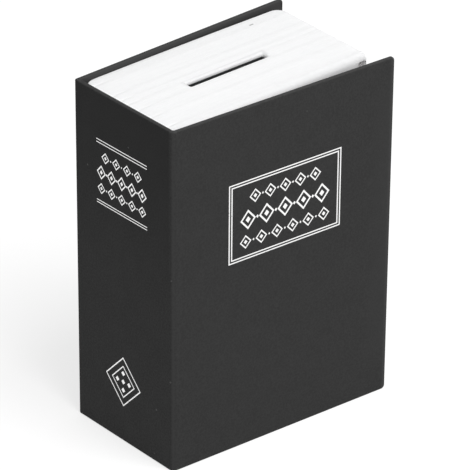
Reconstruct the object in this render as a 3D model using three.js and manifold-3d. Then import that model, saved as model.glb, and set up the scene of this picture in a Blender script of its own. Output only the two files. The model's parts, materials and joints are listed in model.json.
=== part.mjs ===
// A book diversion safe: a steel cash box inside a dummy book.
// Millimetres. X runs from the spine to the fore edge, Y from the front cover to the back cover
// and Z from the tail of the book, which it stands on, to the head.
// The front cover stands ajar, and the lid behind it follows it part of the way.

import * as THREE from "three";
import { mergeVertices } from "three/addons/utils/BufferGeometryUtils.js";
import Module from "manifold-3d";

const wasm = await Module();
wasm.setup();

// The case: three boards wrapped in paper.
const BOOK_HEIGHT = 180;
const BOOK_WIDTH = 126;
const BOOK_DEPTH = 68.4;
const BOARD_THICK = 1.6;
const PAPER_THICK = 0.25;
const GLUE_GAP = 0.05;
const TURN_IN = 14;
const BOARD_CORNER_RADIUS = 2;
const JOINT_PLAY = 0.3; // what the joints reach past the thickness of a cover
const BACK_JOINT_RADIUS = 0.9; // the back cover doesn't swing, so its joint is creased tight
const PASTEDOWN_MARGIN = 0.3;
const COVER_AJAR_DEG = 5;

// The moulded page block.
const HEAD_SQUARE = 2.1; // the covers stand past the pages by this much at head and tail
const FORE_SQUARE = 4.2; // and by this much at the fore edge
const COVER_CLEARANCE = 0.3; // between the shut front cover and the pages
const BLOCK_WALL = 1.8;
const BLOCK_CORNER_RADIUS = 5.5; // of the upright corners at the back
const BLOCK_FRONT_RADIUS = 1; // of the edges all round the front
const BLOCK_RIM = 6; // width of the white rim round the lid
const RIDGE_DEPTH = 0.4;
const RIDGE_STEPS = 6; // points along one ridge
const GROOVES = [0.1, 0.28, 0.42, 0.53, 0.61, 0.7, 0.9]; // between the ridges, as shares of the depth
const CORNER_NOTCH = [4.6, 6, 2.6]; // a slot in the rim's top fore corner, along X, Y and Z
const CORNER_NOTCH_INSET = 0.6; // from the fore edge of the pages
const CORNER_NOTCH_DROP = 2.6; // below the head of the pages

// The coin slot.
const SLOT_LENGTH = 47.4;
const SLOT_WIDTH = 4.6;
const SLOT_Y = 33.45; // from the front of the shut book
const SLOT_CORNER_RADIUS = 0.9;
const BOX_SLOT_MARGIN = 0.5; // the steel's slot is this much wider all round

// The steel box and the frame at its mouth.
const BOX_WALL = 1;
const BOX_CLEARANCE = 0.3; // between the steel box and the moulding
const LID_RECESS = 4.6; // from the front of the pages back to the frame
const FRAME_THICK = 1.2;
const FRAME_CORNER_RADIUS = 3;

// The lid and its hinge.
const LID_DEPTH = 2.4;
const LID_SHEET = 1;
const LID_CORNER_RADIUS = 3;
const LID_CLEARANCE = 1; // round the lid, to the rim of the pages
const LID_SEAT_GAP = 0.3; // between the shut lid and the frame
const LID_LAP = 5; // how far the lid laps over the frame
const LID_SHARE = 0.575; // the lid turns by this share of the front cover's turn
const HINGE_LENGTH = 124;
const KNUCKLE_COUNT = 5;
const KNUCKLE_RADIUS = 1.5;
const KNUCKLE_GAP = 0.4;
const PIN_RADIUS = 0.75;
const PIN_CLEARANCE = 0.15;
const LEAF_WIDTH = 8;
const LEAF_THICK = 0.8;
const LEAF_MARGIN = 0.5; // from the rim of the pages to the fixed leaf
const KNUCKLE_LIFT = 0.2; // from the frame to the knuckles
const HINGE_RIVETS = 3;

// Rivets.
const HINGE_RIVET_RADIUS = 1.2;
const HINGE_RIVET_HEAD = 2.2;
const HINGE_RIVET_HEAD_THICK = 0.8;
const BOX_RIVET_RADIUS = 1.6;
const BOX_RIVET_HEAD = 4;
const BOX_RIVET_HEAD_THICK = 1;
const BOX_RIVET_INSET = 22; // from the inner corners of the steel box
const FIT = 0.1; // running or assembly clearance of small parts

// The cam lock.
const LOCK_INSET = 17; // from the lid's free edge to the lock's axis
const LOCK_HEAD_RADIUS = 8;
const LOCK_HEAD_THICK = 1.4;
const BARREL_RADIUS = 6;
const BARREL_FLAT = 5.2; // from the axis to each of the barrel's two flats
const BARREL_LENGTH = 15.6; // behind the face of the lid
const PLUG_RADIUS = 3.6;
const PLUG_SQUARE = 5;
const PLUG_SINK = 0.3;
const KEYWAY = [1.5, 8, 5.6]; // along X, Y and Z
const WASHER_RADIUS = 8.4;
const WASHER_THICK = 0.6;
const NUT_ACROSS_CORNERS = 18;
const NUT_THICK = 3;
const CAM_THICK = 1.5;
const CAM_WIDTH = 12;
const CAM_REACH = 17; // from the lock's axis to the tip
const CAM_GAP = 0.3; // from the barrel to the cam
const CAM_SCREW_RADIUS = 1.4;
const CAM_SCREW_HEAD = 3;
const CAM_SCREW_HEAD_THICK = 1.6;
const CAM_SCREW_LENGTH = 6;
const SCREW_SLOT = [1, 0.7]; // width and depth of the drive slot

// The plate that the cam goes behind.
const STRIKE_THICK = 1.5;
const STRIKE_HEIGHT = 20;
const STRIKE_LAP = 5.8; // how far the locked cam reaches behind it
const STRIKE_GAP = 0.6;

// How finely round things are cut.
const ROUND_SIDES = 24;
const SMALL_SIDES = 14;
const NUT_SIDES = 6;
const ARC_STEPS = 4;
const MERGE_DISTANCE = 1e-4; // closer points of a mesh are one
const OVERRUN = 1; // how far a cutting tool runs past what it cuts

// Planes and edges worked out from the sizes above, in the shut book.
const COVER_THICK = BOARD_THICK + 2 * (PAPER_THICK + GLUE_GAP);
const JOINT_RADIUS = COVER_THICK + JOINT_PLAY;
const BACK_INNER = BOOK_DEPTH - COVER_THICK;
const BOARD_INSET = PAPER_THICK + GLUE_GAP;
const BLOCK = {
  spine: COVER_THICK,
  fore: BOOK_WIDTH - FORE_SQUARE,
  front: COVER_THICK + COVER_CLEARANCE,
  back: BACK_INNER,
  tail: HEAD_SQUARE,
  head: BOOK_HEIGHT - HEAD_SQUARE,
};
const FRAME_FRONT = BLOCK.front + LID_RECESS;
const FRAME_BACK = FRAME_FRONT + FRAME_THICK;
const RIM = {
  spine: BLOCK.spine + BLOCK_RIM,
  fore: BLOCK.fore - BLOCK_RIM,
  tail: BLOCK.tail + BLOCK_RIM,
  head: BLOCK.head - BLOCK_RIM,
};
const CAVITY = {
  spine: BLOCK.spine + BLOCK_WALL,
  fore: BLOCK.fore - RIDGE_DEPTH - BLOCK_WALL,
  tail: BLOCK.tail + RIDGE_DEPTH + BLOCK_WALL,
  head: BLOCK.head - RIDGE_DEPTH - BLOCK_WALL,
};
const BOX = {
  spine: CAVITY.spine + BOX_CLEARANCE,
  fore: CAVITY.fore - BOX_CLEARANCE,
  tail: CAVITY.tail + BOX_CLEARANCE,
  head: CAVITY.head - BOX_CLEARANCE,
};
const SLOT_X = (BLOCK.spine + BLOCK.fore) / 2;

const HINGE_X = RIM.spine + LEAF_MARGIN + LEAF_WIDTH + KNUCKLE_GAP + KNUCKLE_RADIUS;
const HINGE_Y = FRAME_FRONT - KNUCKLE_LIFT - KNUCKLE_RADIUS;
const MIDDLE_Z = BOOK_HEIGHT / 2;
const KNUCKLE_PITCH = HINGE_LENGTH / KNUCKLE_COUNT;
const KNUCKLE_BORE = PIN_RADIUS + PIN_CLEARANCE;
const LID = {
  spine: HINGE_X + KNUCKLE_RADIUS + KNUCKLE_GAP,
  fore: RIM.fore - LID_CLEARANCE,
  tail: RIM.tail + LID_CLEARANCE,
  head: RIM.head - LID_CLEARANCE,
};
const LID_BACK = FRAME_FRONT - LID_SEAT_GAP;
const LID_FACE = LID_BACK - LID_DEPTH;
const LID_INSIDE = LID_FACE + LID_SHEET;
const MOUTH = {
  spine: HINGE_X + KNUCKLE_RADIUS,
  fore: LID.fore - LID_LAP,
  tail: LID.tail + LID_LAP,
  head: LID.head - LID_LAP,
};

const LOCK_X = LID.fore - LOCK_INSET;
const WASHER_FRONT = LID_INSIDE + FIT;
const NUT_FRONT = WASHER_FRONT + WASHER_THICK + FIT;
const BARREL_END = LID_FACE + BARREL_LENGTH;
const CAM_FRONT = BARREL_END + CAM_GAP;
const CAM_BACK = CAM_FRONT + CAM_THICK;
const STRIKE_BACK = CAM_FRONT - STRIKE_GAP;
const STRIKE_EDGE = LOCK_X + CAM_REACH - STRIKE_LAP;

const rad = THREE.MathUtils.degToRad;

// From a three.js geometry to a solid that can be cut and joined, and back.
function solid(geometry) {
  const plain = geometry.index ? geometry.toNonIndexed() : geometry.clone();
  plain.deleteAttribute("normal");
  plain.deleteAttribute("uv");
  const merged = mergeVertices(plain, MERGE_DISTANCE);
  return new wasm.Manifold(
    new wasm.Mesh({
      numProp: 3,
      vertProperties: new Float32Array(merged.attributes.position.array),
      triVerts: new Uint32Array(merged.index.array),
    }),
  );
}

function geometryOf(made) {
  const mesh = made.getMesh();
  const geometry = new THREE.BufferGeometry();
  const points = new Float32Array(mesh.numVert * 3);
  for (let i = 0; i < mesh.numVert; i++) {
    for (let k = 0; k < 3; k++) {
      points[3 * i + k] = mesh.vertProperties[mesh.numProp * i + k];
    }
  }
  geometry.setAttribute("position", new THREE.BufferAttribute(points, 3));
  geometry.setIndex(new THREE.BufferAttribute(new Uint32Array(mesh.triVerts), 1));
  geometry.computeVertexNormals();
  return geometry;
}

function cut(body, ...tools) {
  return tools.reduce((left, tool) => left.subtract(tool), body);
}

function join(...bodies) {
  return bodies.reduce((left, body) => left.add(body));
}

// A block from its lowest corner to its highest.
function block(low, high) {
  const size = high.map((value, i) => value - low[i]);
  const middle = high.map((value, i) => (value + low[i]) / 2);
  return solid(new THREE.BoxGeometry(...size).translate(...middle));
}

// A block whose reach in X and Z is an area with spine, fore, tail and head edges.
function slab(area, front, back, inset = 0) {
  return block(
    [area.spine + inset, front, area.tail + inset],
    [area.fore - inset, back, area.head - inset],
  );
}

// A rectangle with its own radius at each corner, as an outline for an extrusion.
function roundedOutline(x0, y0, x1, y1, lowLeft, lowRight, highRight, highLeft) {
  const shape = new THREE.Shape();
  const corner = (cx, cy, radius, start) => {
    if (radius > 0) shape.absarc(cx, cy, radius, start, start + Math.PI / 2, false);
    else shape.lineTo(cx, cy);
  };
  shape.moveTo(x0 + lowLeft, y0);
  shape.lineTo(x1 - lowRight, y0);
  corner(x1 - lowRight, y0 + lowRight, lowRight, -Math.PI / 2);
  shape.lineTo(x1, y1 - highRight);
  corner(x1 - highRight, y1 - highRight, highRight, 0);
  shape.lineTo(x0 + highLeft, y1);
  corner(x0 + highLeft, y1 - highLeft, highLeft, Math.PI / 2);
  shape.lineTo(x0, y0 + lowLeft);
  corner(x0 + lowLeft, y0 + lowLeft, lowLeft, Math.PI);
  return shape;
}

function extrude(shape, depth) {
  return new THREE.ExtrudeGeometry(shape, { depth, bevelEnabled: false, curveSegments: ARC_STEPS });
}

// A flat plate in X and Z from front to back, with rounded corners.
function plate(area, front, back, spineRadius, foreRadius, inset = 0) {
  const outline = roundedOutline(
    area.spine + inset,
    area.tail + inset,
    area.fore - inset,
    area.head - inset,
    spineRadius,
    foreRadius,
    foreRadius,
    spineRadius,
  );
  return solid(extrude(outline, back - front).rotateX(Math.PI / 2).translate(0, back, 0));
}

// A round rod along Y, or along Z.
function rodY(x, z, front, back, radius, sides = SMALL_SIDES) {
  const length = back - front;
  const rod = new THREE.CylinderGeometry(radius, radius, length, sides);
  return solid(rod.translate(x, front + length / 2, z));
}

function rodZ(x, y, low, high, radius, sides = SMALL_SIDES) {
  const length = high - low;
  const rod = new THREE.CylinderGeometry(radius, radius, length, sides).rotateX(Math.PI / 2);
  return solid(rod.translate(x, y, low + length / 2));
}

// A block whose two upright edges at the back are rounded, like a pressed tray.
function tray(area, front, back, radius, inset = 0) {
  const outline = roundedOutline(
    area.spine + inset,
    front,
    area.fore - inset,
    back,
    0,
    0,
    radius,
    radius,
  );
  const height = area.head - area.tail - 2 * inset;
  return solid(extrude(outline, height).translate(0, 0, area.tail + inset));
}

// The quarter round of paper at a joint, about the axis at (x, y), from one angle to another.
function quarterRound(x, y, from, to) {
  const shape = new THREE.Shape();
  const inner = JOINT_RADIUS - PAPER_THICK;
  shape.absarc(x, y, JOINT_RADIUS, from, to, false);
  shape.lineTo(x + inner * Math.cos(to), y + inner * Math.sin(to));
  shape.absarc(x, y, inner, to, from, true);
  shape.closePath();
  return solid(extrude(shape, BOOK_HEIGHT));
}

const materials = {
  covering: { color: 0x3a3a3b, roughness: 0.72, metalness: 0 },
  board: { color: 0x8a8378, roughness: 0.95, metalness: 0 },
  lining: { color: 0x1f1f20, roughness: 0.8, metalness: 0 },
  pages: { color: 0xf2f2f4, roughness: 0.45, metalness: 0 },
  paintedSteel: { color: 0x2c2d2f, roughness: 0.5, metalness: 0.2 },
  zinc: { color: 0xb4b7ba, roughness: 0.35, metalness: 0.9 },
  chrome: { color: 0xd4d6d8, roughness: 0.15, metalness: 1 },
  brass: { color: 0xb8974c, roughness: 0.3, metalness: 1 },
};

function piece(name, made, finish) {
  const mesh = new THREE.Mesh(geometryOf(made), new THREE.MeshStandardMaterial(materials[finish]));
  mesh.name = name;
  return mesh;
}

// The case. A cover's paper lies on its board's face, goes round its free edges and ends in a
// turn-in on the inner face, which looks to the pages.
const COVER_AREA = { spine: JOINT_RADIUS, fore: BOOK_WIDTH, tail: 0, head: BOOK_HEIGHT };

function wrappedCover(front, facesBack) {
  const back = front + COVER_THICK;
  const shell = plate(COVER_AREA, front, back, 0, BOARD_CORNER_RADIUS);
  const inside = { ...COVER_AREA, spine: COVER_AREA.spine - OVERRUN - PAPER_THICK };
  const room = plate(
    inside,
    front + PAPER_THICK,
    back - PAPER_THICK,
    0,
    BOARD_CORNER_RADIUS - PAPER_THICK,
    PAPER_THICK,
  );
  const window = { ...inside, fore: BOOK_WIDTH - TURN_IN, tail: TURN_IN, head: BOOK_HEIGHT - TURN_IN };
  const inner = facesBack ? front : back - PAPER_THICK;
  const opening = slab(window, inner - GLUE_GAP, inner + PAPER_THICK + GLUE_GAP);
  return cut(shell, room, opening);
}

function coverBoard(front) {
  const area = {
    spine: JOINT_RADIUS + GLUE_GAP,
    fore: BOOK_WIDTH - BOARD_INSET,
    tail: BOARD_INSET,
    head: BOOK_HEIGHT - BOARD_INSET,
  };
  const face = front + BOARD_INSET;
  return plate(area, face, face + BOARD_THICK, 0, BOARD_CORNER_RADIUS - PAPER_THICK);
}

function pastedown(front) {
  const area = {
    spine: JOINT_RADIUS + PASTEDOWN_MARGIN,
    fore: BOOK_WIDTH - TURN_IN - PASTEDOWN_MARGIN,
    tail: TURN_IN + PASTEDOWN_MARGIN,
    head: BOOK_HEIGHT - TURN_IN - PASTEDOWN_MARGIN,
  };
  return slab(area, front, front + PAPER_THICK);
}

function wrappedSpine() {
  const low = JOINT_RADIUS;
  const high = BOOK_DEPTH - JOINT_RADIUS;
  const shell = block([0, low, 0], [COVER_THICK, high, BOOK_HEIGHT]);
  const room = block(
    [PAPER_THICK, low - OVERRUN, PAPER_THICK],
    [COVER_THICK - PAPER_THICK, high + OVERRUN, BOOK_HEIGHT - PAPER_THICK],
  );
  const window = block(
    [COVER_THICK - PAPER_THICK - GLUE_GAP, low - OVERRUN, TURN_IN],
    [COVER_THICK + OVERRUN, high + OVERRUN, BOOK_HEIGHT - TURN_IN],
  );
  return cut(shell, room, window);
}

function spineBoard() {
  return block(
    [BOARD_INSET, JOINT_RADIUS + GLUE_GAP, BOARD_INSET],
    [BOARD_INSET + BOARD_THICK, BOOK_DEPTH - JOINT_RADIUS - GLUE_GAP, BOOK_HEIGHT - BOARD_INSET],
  );
}

// The front joint stops a little short of the cover that swings past it.
function frontJoint() {
  const stop = Math.asin(COVER_CLEARANCE / JOINT_RADIUS);
  return quarterRound(JOINT_RADIUS, JOINT_RADIUS, Math.PI, 1.5 * Math.PI - stop);
}

function backJoint() {
  const low = BOOK_DEPTH - JOINT_RADIUS;
  const outer = roundedOutline(0, low, JOINT_RADIUS, BOOK_DEPTH, 0, 0, 0, BACK_JOINT_RADIUS);
  const inner = roundedOutline(
    PAPER_THICK,
    low - OVERRUN,
    JOINT_RADIUS + OVERRUN,
    BOOK_DEPTH - PAPER_THICK,
    0,
    0,
    0,
    BACK_JOINT_RADIUS - PAPER_THICK,
  );
  const room = solid(extrude(inner, BOOK_HEIGHT + 2 * OVERRUN).translate(0, 0, -OVERRUN));
  return cut(solid(extrude(outer, BOOK_HEIGHT)), room);
}

// The places of the rivets through the floor of the steel box.
const BOX_RIVET_PLACES = [
  [BOX.spine + BOX_RIVET_INSET, BOX.tail + BOX_RIVET_INSET],
  [BOX.fore - BOX_RIVET_INSET, BOX.tail + BOX_RIVET_INSET],
  [BOX.spine + BOX_RIVET_INSET, BOX.head - BOX_RIVET_INSET],
  [BOX.fore - BOX_RIVET_INSET, BOX.head - BOX_RIVET_INSET],
];

function boxRivetHoles(front, back) {
  return BOX_RIVET_PLACES.map(([x, z]) =>
    rodY(x, z, front - OVERRUN, back + OVERRUN, BOX_RIVET_RADIUS + FIT),
  );
}

function boxRivet([x, z]) {
  const floor = BACK_INNER - BOX_WALL;
  const tip = BACK_INNER + PAPER_THICK + GLUE_GAP + BOARD_THICK;
  return join(
    rodY(x, z, floor - BOX_RIVET_HEAD_THICK, floor, BOX_RIVET_HEAD),
    rodY(x, z, floor - BOX_RIVET_HEAD_THICK / 2, tip, BOX_RIVET_RADIUS),
  );
}

// The page block. Its head, tail and fore edge carry the same ridges, which meet at the corners.
// A ridge is a flat arch from one groove to the next. The first and the last are half arches, with
// their crests at the front and the back. Each point is [y, depth below the crests].
function ridgePoints() {
  const ends = [0, ...GROOVES, 1];
  const points = [];
  for (let i = 1; i < ends.length; i++) {
    const from = i === 1 ? 0 : -1;
    const to = i === ends.length - 1 ? 0 : 1;
    for (let k = 0; k < RIDGE_STEPS; k++) {
      const share = k / RIDGE_STEPS;
      const fromCrest = from + share * (to - from);
      const y = ends[i - 1] + share * (ends[i] - ends[i - 1]);
      points.push([BLOCK.front + y * (BLOCK.back - BLOCK.front), RIDGE_DEPTH * fromCrest ** 2]);
    }
  }
  return [...points, [BLOCK.back, 0]];
}

function ridgedProfile() {
  const shape = new THREE.Shape();
  const head = ridgePoints().map(([y, dip]) => [y, BLOCK.head - dip]);
  const tail = ridgePoints().map(([y, dip]) => [y, BLOCK.tail + dip]).reverse();
  for (const [y, z] of [...head, ...tail]) shape.lineTo(y, z);
  shape.closePath();
  return shape;
}

function ridgedPlan() {
  const shape = new THREE.Shape();
  for (const [y, dip] of ridgePoints()) shape.lineTo(BLOCK.fore - dip, y);
  shape.lineTo(BLOCK.spine, BLOCK.back);
  shape.lineTo(BLOCK.spine, BLOCK.front);
  shape.closePath();
  return shape;
}

function coinSlot(low, high, margin) {
  const halfLength = SLOT_LENGTH / 2 + margin;
  const halfWidth = SLOT_WIDTH / 2 + margin;
  const radius = SLOT_CORNER_RADIUS + margin;
  const outline = roundedOutline(
    SLOT_X - halfLength,
    SLOT_Y - halfWidth,
    SLOT_X + halfLength,
    SLOT_Y + halfWidth,
    radius,
    radius,
    radius,
    radius,
  );
  return solid(extrude(outline, high - low).translate(0, 0, low));
}

function pageBlock() {
  const toYZ = new THREE.Matrix4().makeBasis(
    new THREE.Vector3(0, 1, 0),
    new THREE.Vector3(0, 0, 1),
    new THREE.Vector3(1, 0, 0),
  );
  const length = BLOCK.fore - BLOCK.spine + 2 * OVERRUN;
  const across = (shape) =>
    solid(extrude(shape, length).applyMatrix4(toYZ).translate(BLOCK.spine - OVERRUN, 0, 0));
  const profile = across(ridgedProfile());
  const frontEdges = across(
    roundedOutline(
      BLOCK.front,
      BLOCK.tail,
      BLOCK.back,
      BLOCK.head,
      BLOCK_FRONT_RADIUS,
      0,
      0,
      BLOCK_FRONT_RADIUS,
    ),
  );
  const plan = solid(extrude(ridgedPlan(), BOOK_HEIGHT));
  const rounded = solid(
    extrude(
      roundedOutline(
        BLOCK.spine,
        BLOCK.front,
        BLOCK.fore,
        BLOCK.back,
        BLOCK_FRONT_RADIUS,
        BLOCK_FRONT_RADIUS,
        BLOCK_CORNER_RADIUS,
        BLOCK_CORNER_RADIUS,
      ),
      BOOK_HEIGHT,
    ),
  );
  const notchX = BLOCK.fore - CORNER_NOTCH_INSET - CORNER_NOTCH[0];
  const notchTop = BLOCK.head - CORNER_NOTCH_DROP;
  const notch = block(
    [notchX, BLOCK.front - OVERRUN, notchTop - CORNER_NOTCH[2]],
    [notchX + CORNER_NOTCH[0], BLOCK.front + CORNER_NOTCH[1], notchTop],
  );
  return cut(
    profile.intersect(plan).intersect(rounded).intersect(frontEdges),
    tray(CAVITY, FRAME_FRONT, BLOCK.back + GLUE_GAP, BLOCK_CORNER_RADIUS - BLOCK_WALL),
    plate(RIM, BLOCK.front - OVERRUN, FRAME_FRONT + OVERRUN, LID_CORNER_RADIUS, LID_CORNER_RADIUS),
    coinSlot(CAVITY.head - OVERRUN, BLOCK.head + OVERRUN, 0),
    notch,
  );
}

// The steel box, its frame and the plate that the cam goes behind.
function steelBox() {
  const radius = BLOCK_CORNER_RADIUS - BLOCK_WALL - BOX_CLEARANCE;
  const outer = tray(BOX, FRAME_BACK, BACK_INNER, radius);
  const room = tray(BOX, FRAME_BACK - OVERRUN, BACK_INNER - BOX_WALL, radius - BOX_WALL, BOX_WALL);
  const slot = coinSlot(BOX.head - BOX_WALL - OVERRUN, BOX.head + OVERRUN, BOX_SLOT_MARGIN);
  return cut(outer, room, slot, ...boxRivetHoles(BACK_INNER - BOX_WALL, BACK_INNER));
}

function boxFrame() {
  return cut(
    slab(BOX, FRAME_FRONT, FRAME_BACK),
    plate(MOUTH, FRAME_FRONT - OVERRUN, FRAME_BACK + OVERRUN, FRAME_CORNER_RADIUS, FRAME_CORNER_RADIUS),
    ...leafHoles(fixedLeafX, FRAME_FRONT, FRAME_BACK),
  );
}

function strikePlate() {
  return block(
    [STRIKE_EDGE, STRIKE_BACK - STRIKE_THICK, MIDDLE_Z - STRIKE_HEIGHT / 2],
    [BOX.fore - BOX_WALL, STRIKE_BACK, MIDDLE_Z + STRIKE_HEIGHT / 2],
  );
}

// The hinge. The box's leaf has the outer knuckles, the lid's leaf the ones between.
const fixedLeafX = HINGE_X - KNUCKLE_RADIUS - KNUCKLE_GAP - LEAF_WIDTH / 2;
const lidLeafX = HINGE_X + KNUCKLE_RADIUS + KNUCKLE_GAP + LEAF_WIDTH / 2;
const LEAF_BACK_ON_LID = LID_FACE - FIT;

function rivetHeights() {
  const step = HINGE_LENGTH / HINGE_RIVETS;
  return Array.from({ length: HINGE_RIVETS }, (_, i) => MIDDLE_Z - HINGE_LENGTH / 2 + (i + 0.5) * step);
}

function leafHoles(x, front, back) {
  return rivetHeights().map((z) =>
    rodY(x, z, front - OVERRUN, back + OVERRUN, HINGE_RIVET_RADIUS + FIT),
  );
}

function knuckleSpan(index) {
  const low = MIDDLE_Z - HINGE_LENGTH / 2 + index * KNUCKLE_PITCH;
  return [low + KNUCKLE_GAP / 2, low + KNUCKLE_PITCH - KNUCKLE_GAP / 2];
}

function hingeLeaf(leafX, front, remainder) {
  const back = front + LEAF_THICK;
  const low = MIDDLE_Z - HINGE_LENGTH / 2;
  const half = LEAF_WIDTH / 2;
  let leaf = block([leafX - half, front, low], [leafX + half, back, low + HINGE_LENGTH]);
  for (let i = remainder; i < KNUCKLE_COUNT; i += 2) {
    const [bottom, top] = knuckleSpan(i);
    const tab = block(
      [Math.min(leafX, HINGE_X), front, bottom],
      [Math.max(leafX, HINGE_X), back, top],
    );
    leaf = join(leaf, tab, rodZ(HINGE_X, HINGE_Y, bottom, top, KNUCKLE_RADIUS));
  }
  const bore = rodZ(HINGE_X, HINGE_Y, low - OVERRUN, low + HINGE_LENGTH + OVERRUN, KNUCKLE_BORE);
  return cut(leaf, bore, ...leafHoles(leafX, front, back));
}

function hingePin() {
  const low = MIDDLE_Z - HINGE_LENGTH / 2;
  return rodZ(HINGE_X, HINGE_Y, low, low + HINGE_LENGTH, PIN_RADIUS);
}

// A rivet with a head in front of the leaf and a set end behind the sheet.
function hingeRivet(x, z, front, back, gap) {
  const thick = HINGE_RIVET_HEAD_THICK;
  return join(
    rodY(x, z, front - gap - thick, front - gap, HINGE_RIVET_HEAD),
    rodY(x, z, front - gap - thick / 2, back + gap + thick / 2, HINGE_RIVET_RADIUS),
    rodY(x, z, back + gap, back + gap + thick, HINGE_RIVET_HEAD),
  );
}

// The lid: a shallow pan, open towards the frame.
function lidPan() {
  return cut(
    plate(LID, LID_FACE, LID_BACK, 0, LID_CORNER_RADIUS),
    plate(LID, LID_INSIDE, LID_BACK + OVERRUN, 0, LID_CORNER_RADIUS - LID_SHEET, LID_SHEET),
    flattedRod(LID_FACE - OVERRUN, LID_INSIDE + OVERRUN, FIT),
    ...leafHoles(lidLeafX, LID_FACE, LID_INSIDE),
  );
}

// A rod about the lock's axis with two flats, as the barrel has and the lid's hole.
function flattedRod(front, back, margin) {
  const radius = BARREL_RADIUS + margin;
  const flat = BARREL_FLAT + margin;
  const rod = rodY(LOCK_X, MIDDLE_Z, front, back, radius, ROUND_SIDES);
  return rod.intersect(
    block(
      [LOCK_X - flat, front - OVERRUN, MIDDLE_Z - radius - OVERRUN],
      [LOCK_X + flat, back + OVERRUN, MIDDLE_Z + radius + OVERRUN],
    ),
  );
}

function lockBarrel() {
  const face = LID_FACE - FIT;
  const bore = PLUG_RADIUS + FIT;
  return cut(
    join(
      rodY(LOCK_X, MIDDLE_Z, face - LOCK_HEAD_THICK, face, LOCK_HEAD_RADIUS, ROUND_SIDES),
      flattedRod(face - LOCK_HEAD_THICK / 2, BARREL_END, 0),
    ),
    rodY(LOCK_X, MIDDLE_Z, face - LOCK_HEAD_THICK - OVERRUN, BARREL_END + OVERRUN, bore, ROUND_SIDES),
  );
}

function lockRing(front, thick, radius, sides) {
  return cut(
    rodY(LOCK_X, MIDDLE_Z, front, front + thick, radius, sides),
    rodY(LOCK_X, MIDDLE_Z, front - OVERRUN, front + thick + OVERRUN, BARREL_RADIUS + FIT, ROUND_SIDES),
  );
}

function lockPlug() {
  const face = LID_FACE - FIT - LOCK_HEAD_THICK + PLUG_SINK;
  const half = PLUG_SQUARE / 2;
  const [slotX, slotY, slotZ] = KEYWAY;
  return cut(
    join(
      rodY(LOCK_X, MIDDLE_Z, face, BARREL_END, PLUG_RADIUS, ROUND_SIDES),
      block(
        [LOCK_X - half, BARREL_END - OVERRUN, MIDDLE_Z - half],
        [LOCK_X + half, CAM_BACK, MIDDLE_Z + half],
      ),
    ),
    block(
      [LOCK_X - slotX / 2, face - OVERRUN, MIDDLE_Z - slotZ / 2],
      [LOCK_X + slotX / 2, face + slotY, MIDDLE_Z + slotZ / 2],
    ),
    rodY(LOCK_X, MIDDLE_Z, CAM_BACK - CAM_SCREW_LENGTH - FIT, CAM_BACK + OVERRUN, CAM_SCREW_RADIUS + FIT),
  );
}

// The cam points to the head of the book while the lid is free to open.
function lockCam() {
  const half = CAM_WIDTH / 2;
  const hole = PLUG_SQUARE / 2 + FIT;
  const area = {
    spine: LOCK_X - half,
    fore: LOCK_X + half,
    tail: MIDDLE_Z - half,
    head: MIDDLE_Z + CAM_REACH,
  };
  return cut(
    plate(area, CAM_FRONT, CAM_BACK, half / 2, half / 2),
    block(
      [LOCK_X - hole, CAM_FRONT - OVERRUN, MIDDLE_Z - hole],
      [LOCK_X + hole, CAM_BACK + OVERRUN, MIDDLE_Z + hole],
    ),
  );
}

function camScrew() {
  const face = CAM_BACK + FIT;
  const top = face + CAM_SCREW_HEAD_THICK;
  const [slotWidth, slotDepth] = SCREW_SLOT;
  return cut(
    join(
      rodY(LOCK_X, MIDDLE_Z, face, top, CAM_SCREW_HEAD),
      rodY(LOCK_X, MIDDLE_Z, CAM_BACK - CAM_SCREW_LENGTH, face + FIT, CAM_SCREW_RADIUS),
    ),
    block(
      [LOCK_X - slotWidth / 2, top - slotDepth, MIDDLE_Z - CAM_SCREW_HEAD - OVERRUN],
      [LOCK_X + slotWidth / 2, top + OVERRUN, MIDDLE_Z + CAM_SCREW_HEAD + OVERRUN],
    ),
  );
}

// The book, first as it stands shut, with its corner of spine and front cover at the zero point.
const book = new THREE.Group();

book.add(
  piece("spine_board", spineBoard(), "board"),
  piece("back_board", cut(coverBoard(BACK_INNER), ...boxRivetHoles(BACK_INNER, BOOK_DEPTH)), "board"),
  piece("covering_spine", wrappedSpine(), "covering"),
  piece("covering_back", wrappedCover(BACK_INNER, true), "covering"),
  piece("covering_front_joint", frontJoint(), "covering"),
  piece("covering_back_joint", backJoint(), "covering"),
  piece("pastedown_back", cut(pastedown(BACK_INNER), ...boxRivetHoles(BACK_INNER, BOOK_DEPTH)), "lining"),
  piece("page_block", pageBlock(), "pages"),
  piece("steel_box", steelBox(), "paintedSteel"),
  piece("box_frame", boxFrame(), "paintedSteel"),
  piece("strike_plate", strikePlate(), "paintedSteel"),
  piece("hinge_leaf_box", hingeLeaf(fixedLeafX, FRAME_FRONT - LEAF_THICK, 0), "zinc"),
  piece("hinge_pin", hingePin(), "zinc"),
);
BOX_RIVET_PLACES.forEach((place, i) => book.add(piece("box_rivet_" + (i + 1), boxRivet(place), "zinc")));
rivetHeights().forEach((z, i) => {
  const rivet = hingeRivet(fixedLeafX, z, FRAME_FRONT - LEAF_THICK, FRAME_BACK, 0);
  book.add(piece("hinge_rivet_box_" + (i + 1), rivet, "zinc"));
});

// The front cover turns about the outer corner of the spine.
const frontCover = new THREE.Group();
frontCover.rotation.z = -rad(COVER_AJAR_DEG);
frontCover.add(
  piece("front_board", coverBoard(0), "board"),
  piece("covering_front", wrappedCover(0, false), "covering"),
  piece("pastedown_front", pastedown(COVER_THICK - PAPER_THICK), "lining"),
);
book.add(frontCover);

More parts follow.
